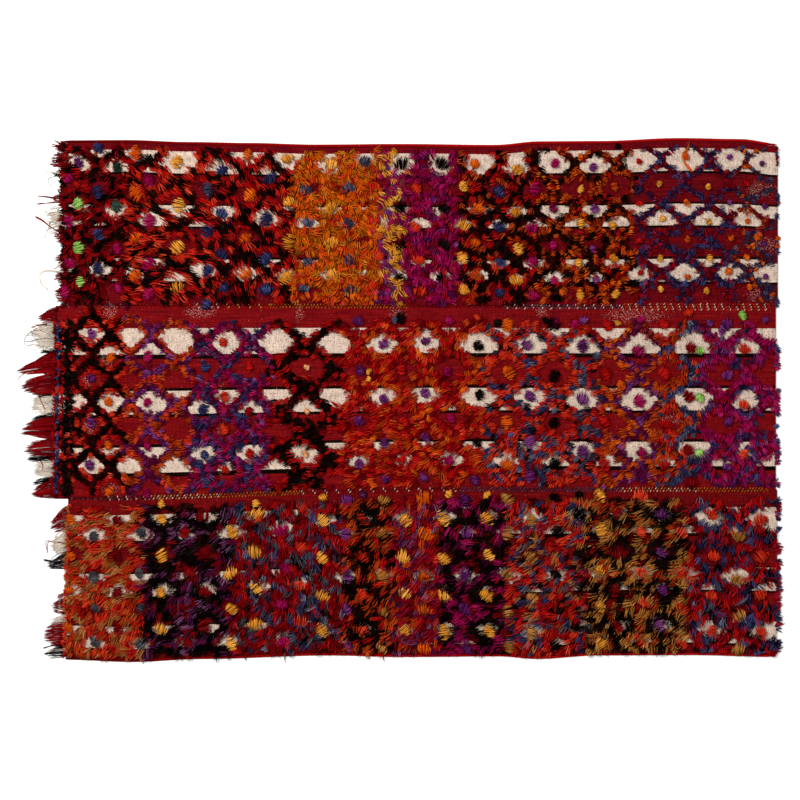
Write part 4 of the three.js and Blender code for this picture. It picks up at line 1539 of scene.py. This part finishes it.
def joined(name, shells, material):
    """One object from many shells of yarn."""
    corners, triangles, places = zip(*shells)
    starts = np.cumsum([0] + [len(part) for part in corners[:-1]])
    triangles = np.concatenate([part + start for part, start in zip(triangles, starts)])
    return new_piece(name, np.concatenate(corners), triangles, np.concatenate(places), material)


def selvedge(name, line, side, panel):
    """A two-ply cord along a long side. side is 1 on the far side and -1 on the near side."""
    left = (panel.left_far if side > 0 else panel.left_near) + CORD_INSET[0]
    right = panel.right - CORD_INSET[1]
    shells = []

    def lay(x, aside, height, shade):
        """Lays one yarn along the edge, this far aside from the cord's middle and this high."""
        y = edge_y(line, x) - side * SELVEDGE_WIDTH / 2 + aside
        path = np.stack(np.broadcast_arrays(x, y, height), -1)[None]
        shells.append(yarn_shells(path, PLY_RADIUS, np.array([shade])))

    x = np.arange(left, right, PLY_STEP)
    for ply, shade in enumerate(PLY_SHADES):
        turn = 2 * np.pi * x / PLY_TWIST + np.pi * ply
        height = SELVEDGE_HEIGHT + TWIST_FLATNESS * TWIST_RADIUS * np.sin(turn)
        lay(x, TWIST_RADIUS * np.cos(turn), height, shade)
    x = np.arange(left, right, CORE_STEP)
    for offset in CORE_OFFSETS:
        lay(x, offset, CORE_HEIGHT, CORE_SHADE)
    return joined(f"selvedge_cord_{name}", shells, yarns["bright_red"])


cords = {
    "far": selvedge("far", FAR_SIDE, 1, PANELS["far"]),
    "near": selvedge("near", NEAR_SIDE, -1, PANELS["near"]),
}
print("selvedges:", [len(cord.data.polygons) for cord in cords.values()], "triangles")

# %% [markdown]
# Seams
#
# The panels are joined by hand with whatever yarn was at hand, so the stitches change colour
# along each seam. One long thread could be drawn, but only its stitches show. Each is a short arch
# of yarn that crosses from one panel to the next, with its two ends in the cloth.

# %% Seams
# Stretches of stitching: from and to along x, the yarns in turn, the pitch, and how many rows.
Stitching = namedtuple("Stitching", "start stop yarns pitch rows")
SEAMS = {
    "far": [
        (-1020, -840, "black slate dark_red", 11, 2), (-840, -620, "bright_red", 11, 2),
        (-620, -540, "bright_red cream", 10, 2), (-540, -390, "bright_red bright_red gold", 11, 2),
        (-390, 40, "olive_gold", 10, 2), (40, 330, "dark_red", 13, 1),
        (330, 690, "slate cream slate", 9, 2), (690, 1160, "scarlet cream bright_red scarlet", 5.5, 3),
    ],
    "near": [
        (-1010, -900, "black slate", 9, 1), (-900, -760, "slate black cream", 9, 2),
        (-760, -545, "olive_gold cream", 10, 2), (-545, -300, "olive_gold", 10, 2),
        (-300, 195, "bright_red cream dark_red", 12, 2), (195, 690, "slate slate navy", 10, 2),
        (690, 930, "olive_gold cream", 10, 2), (930, 1160, "olive_gold", 10, 2),
    ],
}
SEAMS = {name: [Stitching(*row) for row in rows] for name, rows in SEAMS.items()}
STITCH_LENGTH = 9
STITCH_RADIUS = 1.5
STITCH_ROWS_APART = 8
STITCH_STRAY = (0.8, 0.7)  # along and across the seam
STITCH_SLANT = (2.2, 1.2)  # the mean and how much it varies
STITCH_VARIETY = (0.7, 1.1)  # of the length
STITCH_SHADE = (0.35, 0.75)
STITCH_PLACES = np.array([-1, -0.5, 0.5, 1.0])  # path points from the middle
STITCH_HEIGHTS = np.array([-0.6, 1.2, 1.2, -0.6])  # above the cloth
for name, line in (("far", FAR_SEAM), ("near", NEAR_SEAM)):
    for run in SEAMS[name]:
        for row in range(run.rows):
            x = np.arange(run.start, run.stop, run.pitch) + run.pitch * row / 2
            x = x + rng.normal(0, STITCH_STRAY[0], len(x))
            offset = (row - (run.rows - 1) / 2) * STITCH_ROWS_APART
            y = edge_y(line, x) + offset + rng.normal(0, STITCH_STRAY[1], len(x))
            slant = rng.normal(*STITCH_SLANT, len(x))
            half = STITCH_LENGTH / 2 * rng.uniform(*STITCH_VARIETY, len(x))
            paths = np.stack([
                x[:, None] + slant[:, None] * STITCH_PLACES, y[:, None] + half[:, None] * STITCH_PLACES,
                cloth_top(x, y)[:, None] + STITCH_HEIGHTS,
            ], -1)
            names = run.yarns.split()
            turn = (np.arange(len(x)) + row) % len(names)
            shade = rng.uniform(*STITCH_SHADE, len(x))
            for k, colour in enumerate(names):
                chosen = turn == k
                put(seam_baskets, name, colour, paths[chosen], STITCH_RADIUS, shade[chosen])
print("seam yarns:", sorted(seam_baskets))

# %% [markdown]
# From baskets to pieces
#
# Every basket becomes one mesh, because a piece that is one dye on one panel can be dyed or left
# out by itself, and the file stays quick to open. Each piece rides on the only body, and the cloths,
# fringes and selvedges hide the CAD solids they stand for.

BODY = "root"
pieces_of = {name: [] for name in PANELS}
total = sum(len(cloth.data.polygons) for cloth in cloths.values())


def add_pieces(kind, source):
    """Makes the pieces of one kind and files each under its panel."""
    for (panel_name, colour), shells in sorted(source.items()):
        made = joined(f"{kind}_{panel_name}_{colour}", shells, yarns[colour])
        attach(made, BODY)
        pieces_of[panel_name].append(made)
        print(made.name, len(made.data.polygons), "triangles")


add_pieces("pile", pile_baskets)
add_pieces("fringe", fringe_baskets)
add_pieces("seam", seam_baskets)
for name, cord in cords.items():
    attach(cord, BODY)
    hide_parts(f"selvedge_{name}")
    pieces_of[name].append(cord)
for name, cloth in cloths.items():
    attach(cloth, BODY)
    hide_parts(f"panel_{name}")
    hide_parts(f"fringe_{name}")
    panel = PANELS[name]
    total += sum(len(made.data.polygons) for made in pieces_of[name])
print("the whole rug has", total, "triangles")

# %% [markdown]
# The floor
#
# The rug lies on a pale studio floor, as if on a roll of paper. A white plane would do, but a hint
# of cloudiness keeps it from looking cut out.

# %% Floor
FLOOR_SIZE = 40.0  # metres
PAPER_SCALE = 3.0  # about three cloudy patches across the floor
PAPER = ("f8f8f6", "fbfbf9")

bpy.ops.object.select_all(action="DESELECT")
bpy.ops.mesh.primitive_plane_add(size=FLOOR_SIZE, location=(0, 0, 0))
floor = bpy.context.object
floor.name = "studio_floor"
floor_paper, tree, shader = new_material("matte_paper_floor")
clouds = add(tree, "ShaderNodeTexNoise", {"Scale": PAPER_SCALE, "Detail": 2.0})
tone = add(tree, "ShaderNodeValToRGB", {"Fac": clouds.outputs["Fac"]},
           [(place, linear(code)) for place, code in enumerate(PAPER)])
tree.links.new(tone.outputs["Color"], shader.inputs["Base Color"])
floor.data.materials.append(floor_paper)
print(floor.name, FLOOR_SIZE, "m wide")

# %% [markdown]
# Lights
#
# One large soft light from the upper left models the tufts, and a bright even surround fills the
# shadows. A low sun would show more relief, but it would hide the colours in shade.

# %% Lights
SURROUND = 0.52  # how bright the white surround is
# Area lights: where each stands and how wide it is, in metres, and its watts.
LAMPS = {
    "key_light": ((-2.9, 2.7, 4.8), 2.2, 398),
    "fill_light": ((3.5, -2.5, 4.5), 3.0, 60),
}

world = bpy.data.worlds.new("studio")
bpy.context.scene.world = world
world.use_nodes = True
surround = world.node_tree.nodes["Background"]
surround.inputs["Color"].default_value = grey(1.0)
surround.inputs["Strength"].default_value = SURROUND


def softbox(name, place, size, watts):
    """A square area light that faces the rug's middle."""
    data = bpy.data.lights.new(name, "AREA")
    data.size = size
    data.energy = watts
    made = bpy.data.objects.new(name, data)
    bpy.context.scene.collection.objects.link(made)
    made.location = place
    x, y, z = place
    made.rotation_euler = (math.acos(z / math.hypot(x, y, z)), 0, math.atan2(x, -y))


for name, lamp in LAMPS.items():
    softbox(name, *lamp)
    print(name, lamp[-1], "watts")

# %% [markdown]
# Camera
#
# The photo was taken from straight above. A long lens far away sees the rug without any
# foreshortening, and unlike an orthographic camera it still has a place of its own in the room.

# %% Camera
VIEW_WIDTH = 2.462  # metres of floor across the picture
LENS = 100.0
SENSOR = 36.0
LOOK_AT = (0.009, 0.0)

camera_data = bpy.data.cameras.new("overhead_camera")
camera_data.lens = LENS
camera_data.sensor_width = SENSOR
camera = bpy.data.objects.new("overhead_camera", camera_data)
bpy.context.scene.collection.objects.link(camera)
camera.location = (*LOOK_AT, VIEW_WIDTH * LENS / SENSOR)
bpy.context.scene.camera = camera
bpy.context.scene.view_settings.view_transform = "Standard"
print("camera height:", round(camera.location.z, 2), "m")
